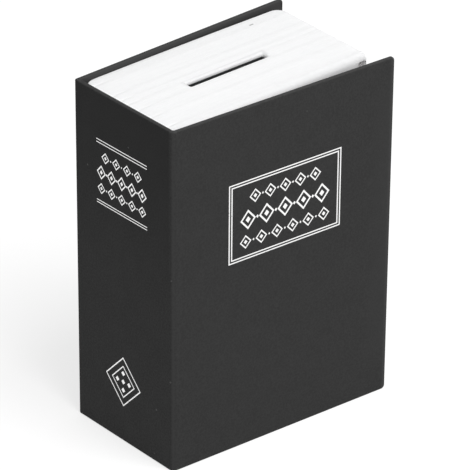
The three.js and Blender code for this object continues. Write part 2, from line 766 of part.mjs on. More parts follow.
// The lid, its leaf and the lock turn about the hinge pin.
const lidSwing = new THREE.Group();
lidSwing.position.set(HINGE_X, HINGE_Y, 0);
lidSwing.rotation.z = -rad(COVER_AJAR_DEG * LID_SHARE);
const lid = new THREE.Group();
lid.position.set(-HINGE_X, -HINGE_Y, 0);
lid.add(
  piece("lid", lidPan(), "paintedSteel"),
  piece("hinge_leaf_lid", hingeLeaf(lidLeafX, LEAF_BACK_ON_LID - LEAF_THICK, 1), "zinc"),
  piece("lock_barrel", lockBarrel(), "chrome"),
  piece("lock_washer", lockRing(WASHER_FRONT, WASHER_THICK, WASHER_RADIUS, ROUND_SIDES), "zinc"),
  piece("lock_nut", lockRing(NUT_FRONT, NUT_THICK, NUT_ACROSS_CORNERS / 2, NUT_SIDES), "zinc"),
  piece("lock_plug", lockPlug(), "brass"),
  piece("lock_cam", lockCam(), "zinc"),
  piece("cam_screw", camScrew(), "zinc"),
);
rivetHeights().forEach((z, i) => {
  const rivet = hingeRivet(lidLeafX, z, LEAF_BACK_ON_LID - LEAF_THICK, LID_INSIDE, FIT);
  lid.add(piece("hinge_rivet_lid_" + (i + 1), rivet, "zinc"));
});
lidSwing.add(lid);
book.add(lidSwing);

// The zero point of the part is the middle of the base of its bounding box, cover ajar.
const foreEdgeReach = BOOK_WIDTH * Math.sin(rad(COVER_AJAR_DEG));
book.position.set(-BOOK_WIDTH / 2, -(BOOK_DEPTH - foreEdgeReach) / 2, 0);

const part = new THREE.Group();
part.add(book);

export default part;
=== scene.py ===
# %% [markdown]
# # A book that hides a cash box
# The object is a dummy book: three boards wrapped in charcoal paper, a white moulding that stands
# for the page block, and a steel box with a hinged lid and a cam lock inside it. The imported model
# already holds every piece at its real size, so this lesson dresses it: it rebuilds the pieces that
# need soft edges, and gives every surface its finish.

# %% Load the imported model
import json
import math

import bmesh
import bpy
from mathutils import Matrix, Vector, noise


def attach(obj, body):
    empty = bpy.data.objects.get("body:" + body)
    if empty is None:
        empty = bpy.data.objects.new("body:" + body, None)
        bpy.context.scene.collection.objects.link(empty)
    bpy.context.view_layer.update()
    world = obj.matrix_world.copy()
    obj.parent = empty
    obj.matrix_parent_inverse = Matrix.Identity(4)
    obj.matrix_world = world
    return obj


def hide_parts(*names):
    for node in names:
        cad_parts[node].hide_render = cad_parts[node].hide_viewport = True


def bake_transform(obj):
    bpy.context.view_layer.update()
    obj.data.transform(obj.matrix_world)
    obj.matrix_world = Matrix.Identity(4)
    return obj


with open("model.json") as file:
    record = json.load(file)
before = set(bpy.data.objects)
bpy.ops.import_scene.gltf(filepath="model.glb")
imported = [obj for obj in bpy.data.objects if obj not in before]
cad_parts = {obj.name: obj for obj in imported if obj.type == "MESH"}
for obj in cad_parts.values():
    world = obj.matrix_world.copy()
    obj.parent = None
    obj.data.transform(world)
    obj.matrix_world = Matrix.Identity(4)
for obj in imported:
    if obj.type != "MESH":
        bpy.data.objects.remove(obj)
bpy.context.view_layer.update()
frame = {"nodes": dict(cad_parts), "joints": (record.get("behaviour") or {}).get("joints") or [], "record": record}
nodes = frame["nodes"]
joints = {joint["name"]: joint for joint in frame["joints"]}
print("nodes:", len(nodes), "joints:", sorted(joints))

# %% [markdown]
# ## Three places to build in
# A book is easiest to model shut, in millimetres, with its corner of spine and front cover at the
# zero point. Each moving body then needs one matrix that takes such a shape to where it stands in
# the photograph: the case stays, the front cover is turned about the spine's corner, and the lid
# about its hinge pin. The angles are the lower limits of the joints, where the book is shut.

# %% From the shut book to the book ajar
MM = 0.001
NEAR = 0.01  # millimetres, for telling whether a point lies in a plane


def axis_of(joint):
    place = joints[joint]["pos_m"]
    return Vector((place[0], place[1], 0))


def turn_at_rest(joint):
    return math.radians(joints[joint]["range_deg"][0])


ZERO = axis_of("front_cover_hinge")
LID_AXIS = axis_of("lid_hinge")
AJAR = turn_at_rest("front_cover_hinge")
LID_AJAR = turn_at_rest("lid_hinge")
IN_MM = Matrix.Scale(MM, 4)
PLACES = {
    "case": Matrix.Translation(ZERO) @ IN_MM,
    "front_cover": Matrix.Translation(ZERO) @ Matrix.Rotation(AJAR, 4, "Z") @ IN_MM,
    "lid": Matrix.Translation(LID_AXIS)
    @ Matrix.Rotation(LID_AJAR, 4, "Z")
    @ Matrix.Translation(ZERO - LID_AXIS)
    @ IN_MM,
}
PLACES["lock"] = PLACES["lid"]
BODIES = frame["record"]["behaviour"]["bodies"]
BODY_OF = {name: body for body, names in BODIES.items() for name in names}


def shut_box(node):
    """Lowest and highest corner of a node in the shut book, in millimetres."""
    back = PLACES[BODY_OF[node]].inverted()
    points = [back @ vertex.co for vertex in nodes[node].data.vertices]
    low = Vector([min(point[i] for point in points) for i in range(3)])
    high = Vector([max(point[i] for point in points) for i in range(3)])
    return low, high


back_low, back_high = shut_box("covering_back")
block_low, block_high = shut_box("page_block")
WIDTH, DEPTH, HEIGHT = back_high
THICK = DEPTH - back_low.y
JOINT = back_low.x
print("shut book:", [round(x, 1) for x in (WIDTH, DEPTH, HEIGHT)], "cover", round(THICK, 2))

# %% [markdown]
# ## The camera
# The straight edges of a book tell where a camera stood. These values were fitted to them: the
# camera looks down by 30 degrees on the spine and the front cover, from 1.8 metres away, with a
# long lens. The image is a square of 470 points.

# %% Place the camera
IMAGE_SIZE = 470
SENSOR = 36
AZIMUTH = math.radians(-41.551)
ELEVATION = math.radians(30.091)
ROLL = math.radians(0.388)
DISTANCE = 1.8238
FOCAL_POINTS = 3891.9
SHIFT_POINTS = (-11.302, 1.361)
BOOK_MIDDLE = Vector((60, 33, 90))
FARTHEST = 20  # metres that the camera sees
AIM = ZERO + BOOK_MIDDLE * MM

backwards = Vector(
    (
        math.sin(AZIMUTH) * math.cos(ELEVATION),
        -math.cos(AZIMUTH) * math.cos(ELEVATION),
        math.sin(ELEVATION),
    )
)
level_right = Vector((math.cos(AZIMUTH), math.sin(AZIMUTH), 0))
level_up = backwards.cross(level_right)
right = level_right * math.cos(ROLL) + level_up * math.sin(ROLL)
up = level_up * math.cos(ROLL) - level_right * math.sin(ROLL)

camera_data = bpy.data.cameras.new("camera")
camera_data.sensor_width = SENSOR
camera_data.lens = FOCAL_POINTS * SENSOR / IMAGE_SIZE
camera_data.shift_x = -SHIFT_POINTS[0] / IMAGE_SIZE
camera_data.shift_y = SHIFT_POINTS[1] / IMAGE_SIZE
camera_data.clip_end = FARTHEST
camera = bpy.data.objects.new("camera", camera_data)
bpy.context.scene.collection.objects.link(camera)
camera.matrix_world = Matrix.Translation(AIM + backwards * DISTANCE) @ Matrix(
    (
        (right.x, up.x, backwards.x),
        (right.y, up.y, backwards.y),
        (right.z, up.z, backwards.z),
    )
).to_4x4()
bpy.context.scene.camera = camera
print("lens:", round(camera_data.lens, 1), "mm")

# %% [markdown]
# ## A small kit for materials
# Every finish here is one Principled shader with textures for its colour, roughness and bump. The
# textures read Object coordinates, which are metres in the frame of the whole model, so grain keeps
# its true scale from piece to piece. Effects that several finishes share are node groups, built
# once: soft patches, a grain for bumps, small specks, and wear along edges, which also carries a
# painted highlight.

# %% Node helpers
def add_node(tree, kind, **inputs):
    """A new node, with the values of its sockets by name, where _ stands for a space."""
    node = tree.nodes.new(kind)
    for name, value in inputs.items():
        node.inputs[name.replace("_", " ")].default_value = value
    return node


def new_group(name, inputs, outputs):
    group = bpy.data.node_groups.new(name, "ShaderNodeTree")
    for label, kind, value in inputs:
        socket = group.interface.new_socket(label, in_out="INPUT", socket_type="NodeSocket" + kind)
        if value is not None:
            socket.default_value = value
    for label, kind in outputs:
        group.interface.new_socket(label, in_out="OUTPUT", socket_type="NodeSocket" + kind)
    return group, group.nodes.new("NodeGroupInput"), group.nodes.new("NodeGroupOutput")


def math_node(tree, operation, first, second=None):
    node = tree.nodes.new("ShaderNodeMath")
    node.operation = operation
    for socket, value in zip(node.inputs, (first, second)):
        if isinstance(value, bpy.types.NodeSocket):
            tree.links.new(value, socket)
        elif value is not None:
            socket.default_value = value
    return node.outputs[0]


def ranged(tree, value, from_low, from_high, to_low, to_high):
    """A value taken smoothly from one range to another, and held at its ends."""
    node = tree.nodes.new("ShaderNodeMapRange")
    node.interpolation_type = "SMOOTHSTEP"
    tree.links.new(value, node.inputs["Value"])
    for name, number in (
        ("From Min", from_low),
        ("From Max", from_high),
        ("To Min", to_low),
        ("To Max", to_high),
    ):
        if isinstance(number, bpy.types.NodeSocket):
            tree.links.new(number, node.inputs[name])
        else:
            node.inputs[name].default_value = number
    return node.outputs["Result"]


def mixed(tree, share, first, second):
    """A value between two, by a share."""
    mix = tree.nodes.new("ShaderNodeMix")
    for number, value in ((0, share), (2, first), (3, second)):
        tree.links.new(value, mix.inputs[number])
    return mix.outputs[0]


def feed(group, given, texture, factor=1.0):
    """Gives a texture the vector of its group, and the scale of its group times a factor."""
    group.links.new(given.outputs["Vector"], texture.inputs["Vector"])
    scale = math_node(group, "MULTIPLY", given.outputs["Per metre"], factor)
    group.links.new(scale, texture.inputs["Scale"])


print("node helpers:", [step.__name__ for step in (add_node, new_group, math_node, ranged, mixed, feed)])


# %% Soft patches
def make_mottle():
    """Soft patches between 0 and 1: a wide noise with a finer one on it."""
    group, given, out = new_group(
        "Mottle",
        [("Vector", "Vector", None), ("Per metre", "Float", 60.0), ("Fine share", "Float", 0.4)],
        [("Value", "Float")],
    )
    wide = add_node(group, "ShaderNodeTexNoise", Detail=3.0, Roughness=0.55)
    fine = add_node(group, "ShaderNodeTexNoise", Detail=2.0, Roughness=0.5)
    feed(group, given, wide)
    feed(group, given, fine, 9.0)
    both = mixed(group, given.outputs["Fine share"], wide.outputs["Fac"], fine.outputs["Fac"])
    group.links.new(ranged(group, both, 0.3, 0.7, 0.0, 1.0), out.inputs["Value"])
    return group


MOTTLE = make_mottle()
print("effect:", MOTTLE.name)


# %% Grain
def make_grain():
    """The height of a pressed grain: rounded cells broken up by noise."""
    group, given, out = new_group(
        "Grain",
        [("Vector", "Vector", None), ("Per metre", "Float", 2000.0), ("Cell share", "Float", 0.5)],
        [("Height", "Float")],
    )
    warp = add_node(group, "ShaderNodeTexNoise", Detail=2.0)
    cells = add_node(group, "ShaderNodeTexVoronoi")
    cells.feature = "SMOOTH_F1"
    feed(group, given, warp, 1.4)
    feed(group, given, cells)
    both = mixed(group, given.outputs["Cell share"], warp.outputs["Fac"], cells.outputs["Distance"])
    group.links.new(both, out.inputs["Height"])
    return group


GRAIN = make_grain()
print("effect:", GRAIN.name)


# %% Specks
def make_specks():
    """A mask of small dots, in a share of the cells of a grid without order."""
    group, given, out = new_group(
        "Specks",
        [
            ("Vector", "Vector", None),
            ("Per metre", "Float", 100.0),
            ("Share", "Float", 0.1),
            ("Size", "Float", 0.08),
        ],
        [("Mask", "Float")],
    )
    cells = add_node(group, "ShaderNodeTexVoronoi")
    feed(group, given, cells)
    dot = math_node(group, "LESS_THAN", cells.outputs["Distance"], given.outputs["Size"])
    channels = group.nodes.new("ShaderNodeSeparateColor")
    group.links.new(cells.outputs["Color"], channels.inputs["Color"])
    chosen = math_node(group, "LESS_THAN", channels.outputs["Red"], given.outputs["Share"])
    group.links.new(math_node(group, "MULTIPLY", dot, chosen), out.inputs["Mask"])
    return group


SPECKS = make_specks()
print("effect:", SPECKS.name)

# %% [markdown]
# Wear, and the highlight that is painted with it, follow the edges. Each piece of a book is close to
# a box, and near an edge of a box two of the three distances to its faces are small. So the second
# least of them is enough to find an edge, with no need of a bevel or of painted points, and a little
# noise breaks the line up.


# %% Edge wear and painted highlight
def make_edge_wear_and_highlight():
    """A mask that rises towards the edges of a box about the zero point of its vector."""
    # The mask marks the edges for wear and for the painted highlight along them.
    group, given, out = new_group(
        "Edge wear",
        [
            ("Vector", "Vector", None),
            ("Half size", "Vector", (1.0, 1.0, 1.0)),
            ("Width", "Float", 0.0015),
        ],
        [("Mask", "Float")],
    )
    place = group.nodes.new("ShaderNodeSeparateXYZ")
    half = group.nodes.new("ShaderNodeSeparateXYZ")
    group.links.new(given.outputs["Vector"], place.inputs[0])
    group.links.new(given.outputs["Half size"], half.inputs[0])
    gaps = []
    for axis in "XYZ":
        reach = math_node(group, "ABSOLUTE", place.outputs[axis])
        gaps.append(math_node(group, "SUBTRACT", half.outputs[axis], reach))
    least = math_node(group, "MINIMUM", gaps[0], gaps[1])
    most = math_node(group, "MAXIMUM", gaps[0], gaps[1])
    nearest = math_node(group, "MAXIMUM", least, math_node(group, "MINIMUM", most, gaps[2]))
    rough = add_node(group, "ShaderNodeTexNoise", Scale=700.0, Detail=3.0)
    group.links.new(given.outputs["Vector"], rough.inputs["Vector"])
    break_up = ranged(group, rough.outputs["Fac"], 0.3, 0.7, 0.75, 1.25)
    uneven = math_node(group, "MULTIPLY", given.outputs["Width"], break_up)
    group.links.new(ranged(group, nearest, 0.0, uneven, 1.0, 0.0), out.inputs["Mask"])
    return group


EDGE_WEAR_AND_HIGHLIGHT = make_edge_wear_and_highlight()
print("effect:", EDGE_WEAR_AND_HIGHLIGHT.name)

# %% [markdown]
# A finish is a material with a few moves that every finish here needs: place an effect, stretch a
# pattern along one axis, mask a box of the book, and blend two colours by a mask. A small class
# keeps the material, its nodes and these moves together.


# %% A material and its parts
class Finish:
    """One material, built up from a Principled shader."""

    def __init__(self, name, attribute=None, **shader):
        self.material = bpy.data.materials.new(name)
        self.material.use_nodes = True
        self.tree = self.material.node_tree
        self.shader = self.tree.nodes["Principled BSDF"]
        for label, value in shader.items():
            self.shader.inputs[label.replace("_", " ")].default_value = value
        if attribute:
            stored = self.tree.nodes.new("ShaderNodeAttribute")
            stored.attribute_name = attribute
            self.place = stored.outputs["Vector"]
        else:
            self.place = self.tree.nodes.new("ShaderNodeTexCoord").outputs["Object"]

    def effect(self, group, vector=None, **inputs):
        node = self.tree.nodes.new("ShaderNodeGroup")
        node.node_tree = group
        self.tree.links.new(vector or self.place, node.inputs["Vector"])
        for label, value in inputs.items():
            node.inputs[label.replace("_", " ")].default_value = value
        return node.outputs[0]

    def stretched(self, scale):
        """The place, with each axis scaled, for a pattern with a direction."""
        node = add_node(self.tree, "ShaderNodeMapping", Scale=scale)
        self.tree.links.new(self.place, node.inputs["Vector"])
        return node.outputs[0]

    def about(self, middle, turned=0.0):
        """The place as seen from a middle, turned about Z."""
        node = add_node(self.tree, "ShaderNodeMapping", Location=middle, Rotation=(0, 0, turned))
        node.vector_type = "TEXTURE"
        self.tree.links.new(self.place, node.inputs["Vector"])
        return node.outputs[0]

    def inside(self, low, high, soft):
        """A mask that is 1 in a box of the shut book and fades at its faces, all in millimetres."""
        middle = (Vector(low) + Vector(high)) / 2
        half = (Vector(high) - Vector(low)) / 2 * MM
        parts = self.tree.nodes.new("ShaderNodeSeparateXYZ")
        self.tree.links.new(self.about(ZERO + middle * MM), parts.inputs[0])
        mask = None
        for axis, reach, fade in zip("XYZ", half, Vector(soft) * MM):
            gap = math_node(self.tree, "ABSOLUTE", parts.outputs[axis])
            part = ranged(self.tree, gap, reach - fade, reach + fade, 1.0, 0.0)
            mask = part if mask is None else math_node(self.tree, "MULTIPLY", mask, part)
        return mask

    def blended(self, mask, first, second):
        """A colour between two, by a mask. Either may be a socket."""
        mix = self.tree.nodes.new("ShaderNodeMix")
        mix.data_type = "RGBA"
        self.tree.links.new(mask, mix.inputs[0])
        for socket, colour in ((mix.inputs[6], first), (mix.inputs[7], second)):
            if isinstance(colour, bpy.types.NodeSocket):
                self.tree.links.new(colour, socket)
            else:
                socket.default_value = (*colour, 1)
        return mix.outputs[2]

    def colour(self, socket):
        self.tree.links.new(socket, self.shader.inputs["Base Color"])

    def roughness(self, value, low, high):
        self.tree.links.new(ranged(self.tree, value, 0, 1, low, high), self.shader.inputs["Roughness"])

    def bump(self, height, distance, strength=1.0):
        node = add_node(self.tree, "ShaderNodeBump", Strength=strength, Distance=distance)
        self.tree.links.new(height, node.inputs["Height"])
        self.tree.links.new(node.outputs[0], self.shader.inputs["Normal"])


# %% [markdown]
# ## The finishes
# The charcoal paper is a matt book covering with a fine pressed grain. Its black wears to grey on
# the folded edges, and the same grey paints the highlight that those rounded edges catch; dust
# leaves a few pale specks. The fore part of the front cover is painted a little paler as painted
# light, the spine is painted darker towards the head as painted shade, and the turn-in at the head
# of the back cover is painted paler again as painted light. Grey shows best as small changes in
# colour and in roughness together, never as one flat tone.

# %% Covering paper
PAPER_DARK = (0.036, 0.036, 0.036)
PAPER_LIGHT = (0.044, 0.044, 0.044)
# Grey of edges rubbed by wear, also used as a painted highlight on the rounded edges.
PAPER_WORN_AND_LIT = (0.058, 0.058, 0.058)
# Painted light: the fore part of the front cover is paler.
PAPER_LIT_FORE = (0.045, 0.045, 0.045)
# Painted shade: the spine's paper is darker towards the head.
PAPER_SHADED_HEAD = (0.027, 0.027, 0.027)
# Painted light: the turn-in at the head of the back cover is paler.
PAPER_LIT_TURN_IN = (0.051, 0.051, 0.051)
PAPER_DUST = (0.10, 0.10, 0.10)


def paper_finish(name, middle, half_size, wear, turned=0.0, attribute=None, areas=()):
    """Covering paper whose edges turn grey from wear and from a painted highlight, by the middle and the
    half size of its box and the width of that grey band, in metres. Each area is a box of the shut
    book, how softly it ends and its colour, which paints light and shade."""
    finish = Finish(name, attribute, Specular_IOR_Level=0.08)
    patches = finish.effect(MOTTLE, Per_metre=120.0, Fine_share=0.8)
    colour = finish.blended(patches, PAPER_DARK, PAPER_LIGHT)
    # The areas paint light and shade into the paper's colour.
    for low, high, soft, tone in areas:
        colour = finish.blended(finish.inside(low, high, soft), colour, tone)
    # The edges turn grey from wear and from a painted highlight along them.
    worn_and_lit = finish.effect(EDGE_WEAR_AND_HIGHLIGHT, finish.about(middle, turned), Half_size=half_size, Width=wear)
    colour = finish.blended(worn_and_lit, colour, PAPER_WORN_AND_LIT)
    dust = finish.effect(SPECKS, Per_metre=95.0, Share=0.15, Size=0.05)
    finish.colour(finish.blended(dust, colour, PAPER_DUST))
    finish.roughness(patches, 0.68, 0.56)
    finish.bump(finish.effect(GRAIN, Per_metre=2600.0, Cell_share=0.6), 0.00006, 0.8)
    return finish.material


# Painted shade, darker towards the head of the spine.
SHADED_SPINE_HEAD = ((-3, -5, 130), (1, 80, 240), (0.4, 1, 55), PAPER_SHADED_HEAD)
# Painted light on the turn-in at the head of the back cover.
LIT_HEAD_TURN_IN = ((2, 64, 170), (124, 66.9, 184), (1, 0.3, 3), PAPER_LIT_TURN_IN)
# Painted light on the fore part of the front cover.
LIT_FORE_PART = ((118, -30, 20), (150, 30, 165), (12, 12, 12), PAPER_LIT_FORE)
BOOK_SIZE = Vector((WIDTH, DEPTH, HEIGHT))
CASE_MORE = Vector((0, 0, 0.4))  # a box of wear and painted highlight that is larger than its piece leaves a narrower band
FRONT_MORE = Vector((-1.5, 0, 2))

# Each wear width is the width of a band of wear and painted highlight.
PAPER = {
    "case": paper_finish(
        "Covering paper, case",
        middle=ZERO + BOOK_SIZE * MM / 2,
        half_size=(BOOK_SIZE + CASE_MORE) * MM / 2,
        wear=0.0013,
        areas=[SHADED_SPINE_HEAD, LIT_HEAD_TURN_IN],
    ),
    "front_cover": paper_finish(
        "Covering paper, front cover",
        middle=PLACES["front_cover"] @ Vector((0, THICK / 2, HEIGHT / 2)),
        half_size=(Vector((2 * WIDTH, THICK, HEIGHT)) + FRONT_MORE) * MM / 2,
        wear=0.0022,
        turned=AJAR,
        areas=[LIT_FORE_PART],
    ),
    "joint": paper_finish(
        "Covering paper, joint",
        middle=ZERO + BOOK_SIZE * MM / 2,
        half_size=BOOK_SIZE * MM / 2,
        wear=0.0023,
        attribute="rest_place",
    ),
}
print("covering paper:", sorted(PAPER))

# %% [markdown]
# Plainer materials are patches between two colours and two values of roughness, with a shallow bump.
# The board and the lining, which show only inside the book, are such: both are made of fibres that
# lie along the sheet, so their patches are stretched along one axis. The bare metals are too, and
# differ only in colour, polish and the size of their patches.


# %% Finishes of patches
def patched_finish(name, dark, light, roughness, per_metre, depth, fine=0.5, stretch=(1, 1, 1), **shader):
    finish = Finish(name, **shader)
    patches = finish.effect(MOTTLE, finish.stretched(stretch), Per_metre=per_metre, Fine_share=fine)
    finish.colour(finish.blended(patches, dark, light))
    finish.roughness(patches, *roughness)
    finish.bump(patches, depth)
    return finish.material


def metal_finish(name, dark, light, roughness, per_metre):
    return patched_finish(name, dark, light, roughness, per_metre, 0.00001, Metallic=1.0)


BOARD = patched_finish(
    "Grey board",
    dark=(0.19, 0.175, 0.155),
    light=(0.30, 0.28, 0.245),
    roughness=(0.98, 0.88),
    per_metre=350.0,
    depth=0.00005,
    fine=0.6,
    stretch=(1, 1, 6),
    Specular_IOR_Level=0.2,
)
LINING = patched_finish(
    "Black lining paper",
    dark=(0.016, 0.016, 0.017),
    light=(0.026, 0.026, 0.027),
    roughness=(0.72, 0.62),
    per_metre=500.0,
    depth=0.00003,
    stretch=(1, 1, 3),
    Specular_IOR_Level=0.25,
)
ZINC = metal_finish("Zinc plate", (0.50, 0.51, 0.53), (0.66, 0.67, 0.68), (0.26, 0.40), 420.0)
CHROME = metal_finish("Chrome plate", (0.70, 0.71, 0.72), (0.78, 0.79, 0.80), (0.08, 0.16), 300.0)
BRASS = metal_finish("Machined brass", (0.48, 0.32, 0.11), (0.62, 0.43, 0.17), (0.22, 0.36), 900.0)
print("made:", [made.name for made in (BOARD, LINING, ZINC, CHROME, BRASS)])

# %% [markdown]
# The page block is white plastic with faint lines along the pages. Light goes a little way into
# such plastic, so it has some subsurface scattering. A few places are painted greyer as painted
# shade: the rim behind the front cover, the recess in its corner and the back lip of the coin slot.
# One small mark is the plastic's own. Each is a box of the shut book with soft ends.

# %% Pages
# Painted shade on the rim behind the front cover.
RIM_PAINTED_SHADE = ((0.0, -5.0, 165.0), (130.0, 6.4, 185.0), (1.0, 1.2, 1.0), (0.78, 0.782, 0.786))
# Painted shade in the recess in the rim's corner.
RECESS_PAINTED_SHADE = ((114.6, 3.4, 170.0), (120.8, 8.0, 175.6), (0.4, 0.4, 0.4), (0.75, 0.735, 0.735))
# Painted shade on the back lip of the coin slot.
LIP_PAINTED_SHADE = ((36.5, 32.0, 177.35), (86.5, 37.2, 185.0), (0.8, 0.6, 0.25), (0.74, 0.742, 0.746))
MARK = ((98.6, 59.0, 176.0), (101.0, 59.9, 179.0), (0.3, 0.2, 0.4), (0.26, 0.26, 0.26))


def page_finish():
    finish = Finish(
        "White moulded plastic",
        Specular_IOR_Level=0.12,
        Subsurface_Weight=0.7,
        Subsurface_Radius=(1.0, 1.0, 1.0),
        Subsurface_Scale=0.002,
    )
    lines = finish.effect(MOTTLE, finish.stretched((0.03, 1, 0.03)), Per_metre=900.0, Fine_share=0.5)
    clouds = finish.effect(MOTTLE, Per_metre=40.0, Fine_share=0.3)
    ruled = finish.blended(lines, (0.835, 0.838, 0.845), (0.875, 0.876, 0.88))
    # The rim, the recess and the slot's lip get painted shade; the small mark is the plastic's own.
    for low, high, soft, tone in (RIM_PAINTED_SHADE, RECESS_PAINTED_SHADE, LIP_PAINTED_SHADE, MARK):
        ruled = finish.blended(finish.inside(low, high, soft), ruled, tone)
    cloud_share = finish.blended(clouds, (0.0, 0.0, 0.0), (0.25, 0.25, 0.25))
    finish.colour(finish.blended(cloud_share, ruled, (0.86, 0.863, 0.87)))
    finish.roughness(clouds, 0.56, 0.46)
    finish.bump(lines, 0.00002)
    return finish.material


PAGES = page_finish()
print("made:", PAGES.name)

# %% [markdown]
# The print is silver foil, pressed on hot. It is a metal, but its surface is broken up by the grain
# of the paper under it, so it is rather rough and has small pits.


# %% Foil
def print_finish():
    finish = Finish("Silver foil print", Metallic=0.9)
    pits = finish.effect(SPECKS, Per_metre=1300.0, Share=0.06, Size=0.3)
    tone = finish.effect(MOTTLE, Per_metre=600.0)
    foil = finish.blended(tone, (0.93, 0.93, 0.925), (0.97, 0.97, 0.965))
    finish.colour(finish.blended(pits, foil, (0.50, 0.50, 0.49)))
    finish.roughness(tone, 0.32, 0.42)
    finish.bump(tone, 0.00002)
    return finish.material


FOIL = print_finish()
print("made:", FOIL.name)

# %% [markdown]
# The steel sheet is powder coated, which leaves a fine orange peel in the paint.


# %% Powder coat
def coated_finish():
    finish = Finish("Black powder coat", Specular_IOR_Level=0.5)
    peel = finish.effect(GRAIN, Per_metre=1100.0, Cell_share=0.3)
    patches = finish.effect(MOTTLE, Per_metre=120.0)
    finish.colour(finish.blended(patches, (0.050, 0.051, 0.053), (0.066, 0.067, 0.070)))
    finish.roughness(patches, 0.36, 0.46)
    finish.bump(peel, 0.00006)
    return finish.material


COATED = coated_finish()
print("made:", COATED.name)

# %% [markdown]
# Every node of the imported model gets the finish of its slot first. Most of them are replaced by
# finer pieces below, and the boards and linings stay as they are.

# %% Dress the nodes
FINISH_OF_SLOT = {
    "covering": PAPER["case"],
    "board": BOARD,
    "lining": LINING,
    "pages": PAGES,
    "painted_steel": COATED,
    "zinc_steel": ZINC,
    "chrome": CHROME,
    "brass": BRASS,
}
SLOT_OF = {part["node"]: part["material_slot"] for part in frame["record"]["subparts"]}
for name, node in nodes.items():
    node.data.materials.clear()
    node.data.materials.append(FINISH_OF_SLOT[SLOT_OF[name]])
print("dressed:", len(nodes), "nodes")

# %% [markdown]
# ## A small kit for shapes
# A bmesh is a mesh in memory that operators can shape: it starts as a box or a few points, which
# are extruded, bevelled, cut by planes or spun. Each piece is modelled in the shut book, in
# millimetres, and the last step moves its points to where the piece stands, so that the object
# itself stays at the origin.

# %% Mesh helpers
STRAIGHT = 0.999  # the share of an edge's length along an axis, from which it runs along it
CREASE = 40  # degrees between faces, from which an edge can be rounded


def add_box(bm, low, high):
    """A box between two corners. Gives its new vertices."""
    low, high = Vector(low), Vector(high)
    made = bmesh.ops.create_cube(bm, size=1)["verts"]
    bmesh.ops.scale(bm, vec=high - low, verts=made)
    bmesh.ops.translate(bm, vec=(low + high) / 2, verts=made)
    bm.normal_update()
    return made


def middle_of(edge):
    return (edge.verts[0].co + edge.verts[1].co) / 2


def anywhere(spot):
    return True


def edges_along(bm, axis, chosen=anywhere):
    """The straight edges along an axis whose middle is chosen."""
    found = []
    for edge in bm.edges:
        reach = edge.verts[1].co - edge.verts[0].co
        if abs(reach[axis]) > STRAIGHT * reach.length and chosen(middle_of(edge)):
            found.append(edge)
    return found


def sharp_edges(bm, chosen=anywhere, angle=CREASE):
    """The edges between faces that meet at an angle, whose middle is chosen."""
    limit = math.radians(angle)
    return [
        edge
        for edge in bm.edges
        if edge.is_manifold and edge.calc_face_angle(0) > limit and chosen(middle_of(edge))
    ]


def round_edges(bm, edges, radius, segments):
    bmesh.ops.bevel(
        bm,
        geom=edges,
        offset=radius,
        offset_type="OFFSET",
        affect="EDGES",
        segments=segments,
        profile=0.5,
        material=-1,
        clamp_overlap=True,
    )
    bm.normal_update()


def slice_faces(bm, faces, place, direction):
    """Cuts some faces along a plane."""
    geometry = set(faces)
    for face in faces:
        geometry.update(face.edges)
        geometry.update(face.verts)
    bmesh.ops.bisect_plane(bm, geom=list(geometry), plane_co=place, plane_no=direction, dist=1e-4)


def faces_in_plane(bm, axis, value):
    return [face for face in bm.faces if all(abs(v.co[axis] - value) < NEAR for v in face.verts)]


def remove_faces(bm, faces):
    bmesh.ops.delete(bm, geom=faces, context="FACES")


def extruded(bm, faces, offset=(0, 0, 0)):
    """Extrudes some faces. Gives the new faces and the new vertices."""
    made = bmesh.ops.extrude_face_region(bm, geom=faces)["geom"]
    vertices = [item for item in made if isinstance(item, bmesh.types.BMVert)]
    bmesh.ops.translate(bm, vec=offset, verts=vertices)
    return [item for item in made if isinstance(item, bmesh.types.BMFace)], vertices


print("edges are rounded from", CREASE, "degrees")

# %% [markdown]
# A piece ends with its shading: faces are smooth, and edges that turn by more than a third of a
# right angle stay sharp. Then it goes to its body, gets its finish and says which nodes it replaces.

# %% Finish a piece
SHARP_ANGLE = math.radians(33)


def mark_sharp(bm):
    """Smooth faces, with the sharper edges kept sharp."""
    for face in bm.faces:
        face.smooth = True
    for edge in bm.edges:
        edge.smooth = not edge.is_manifold or edge.calc_face_angle(0) < SHARP_ANGLE


def finished(name, bm, body, slot, replaces=(), finish=None, place=None):
    """Ends a piece: shading, its place, its finish, its body and the nodes that it stands for. The
    finish is the slot's, unless another is given."""
    bm.normal_update()
    mark_sharp(bm)
    bm.transform(PLACES[body] if place is None else place)
    mesh = bpy.data.meshes.new(name)
    bm.to_mesh(mesh)
    bm.free()
    mesh.materials.append(finish or FINISH_OF_SLOT[slot])
    piece = bpy.data.objects.new(name, mesh)
    bpy.context.scene.collection.objects.link(piece)
    if place is None:
        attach(piece, body)
    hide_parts(*replaces)
    print(name, len(mesh.polygons), "faces")
    return piece


def thickened(piece, thickness, even=False):
    """Gives a surface its thickness in millimetres, inwards."""
    sheet = piece.modifiers.new("Sheet", "SOLIDIFY")
    sheet.thickness = thickness * MM
    sheet.offset = -1
    sheet.use_even_offset = even


def even_shading(piece):
    """Keeps large flat faces flat beside small rounded ones."""
    modifier = piece.modifiers.new("Even shading", "WEIGHTED_NORMAL")
    modifier.keep_sharp = True


print("edges stay sharp from", round(math.degrees(SHARP_ANGLE)), "degrees")

# %% [markdown]
# ## The covers
# A book cover is a stiff board wrapped in one sheet of paper, which goes round the edges and ends
# in a turn-in on the inner face. The sheet is modelled as that outer surface: a slab with rounded
# corners and edges, opened where the lining will lie, and given the thickness of paper inwards. The
# spine and the back cover share one sheet. The front cover has its own, because it swings.

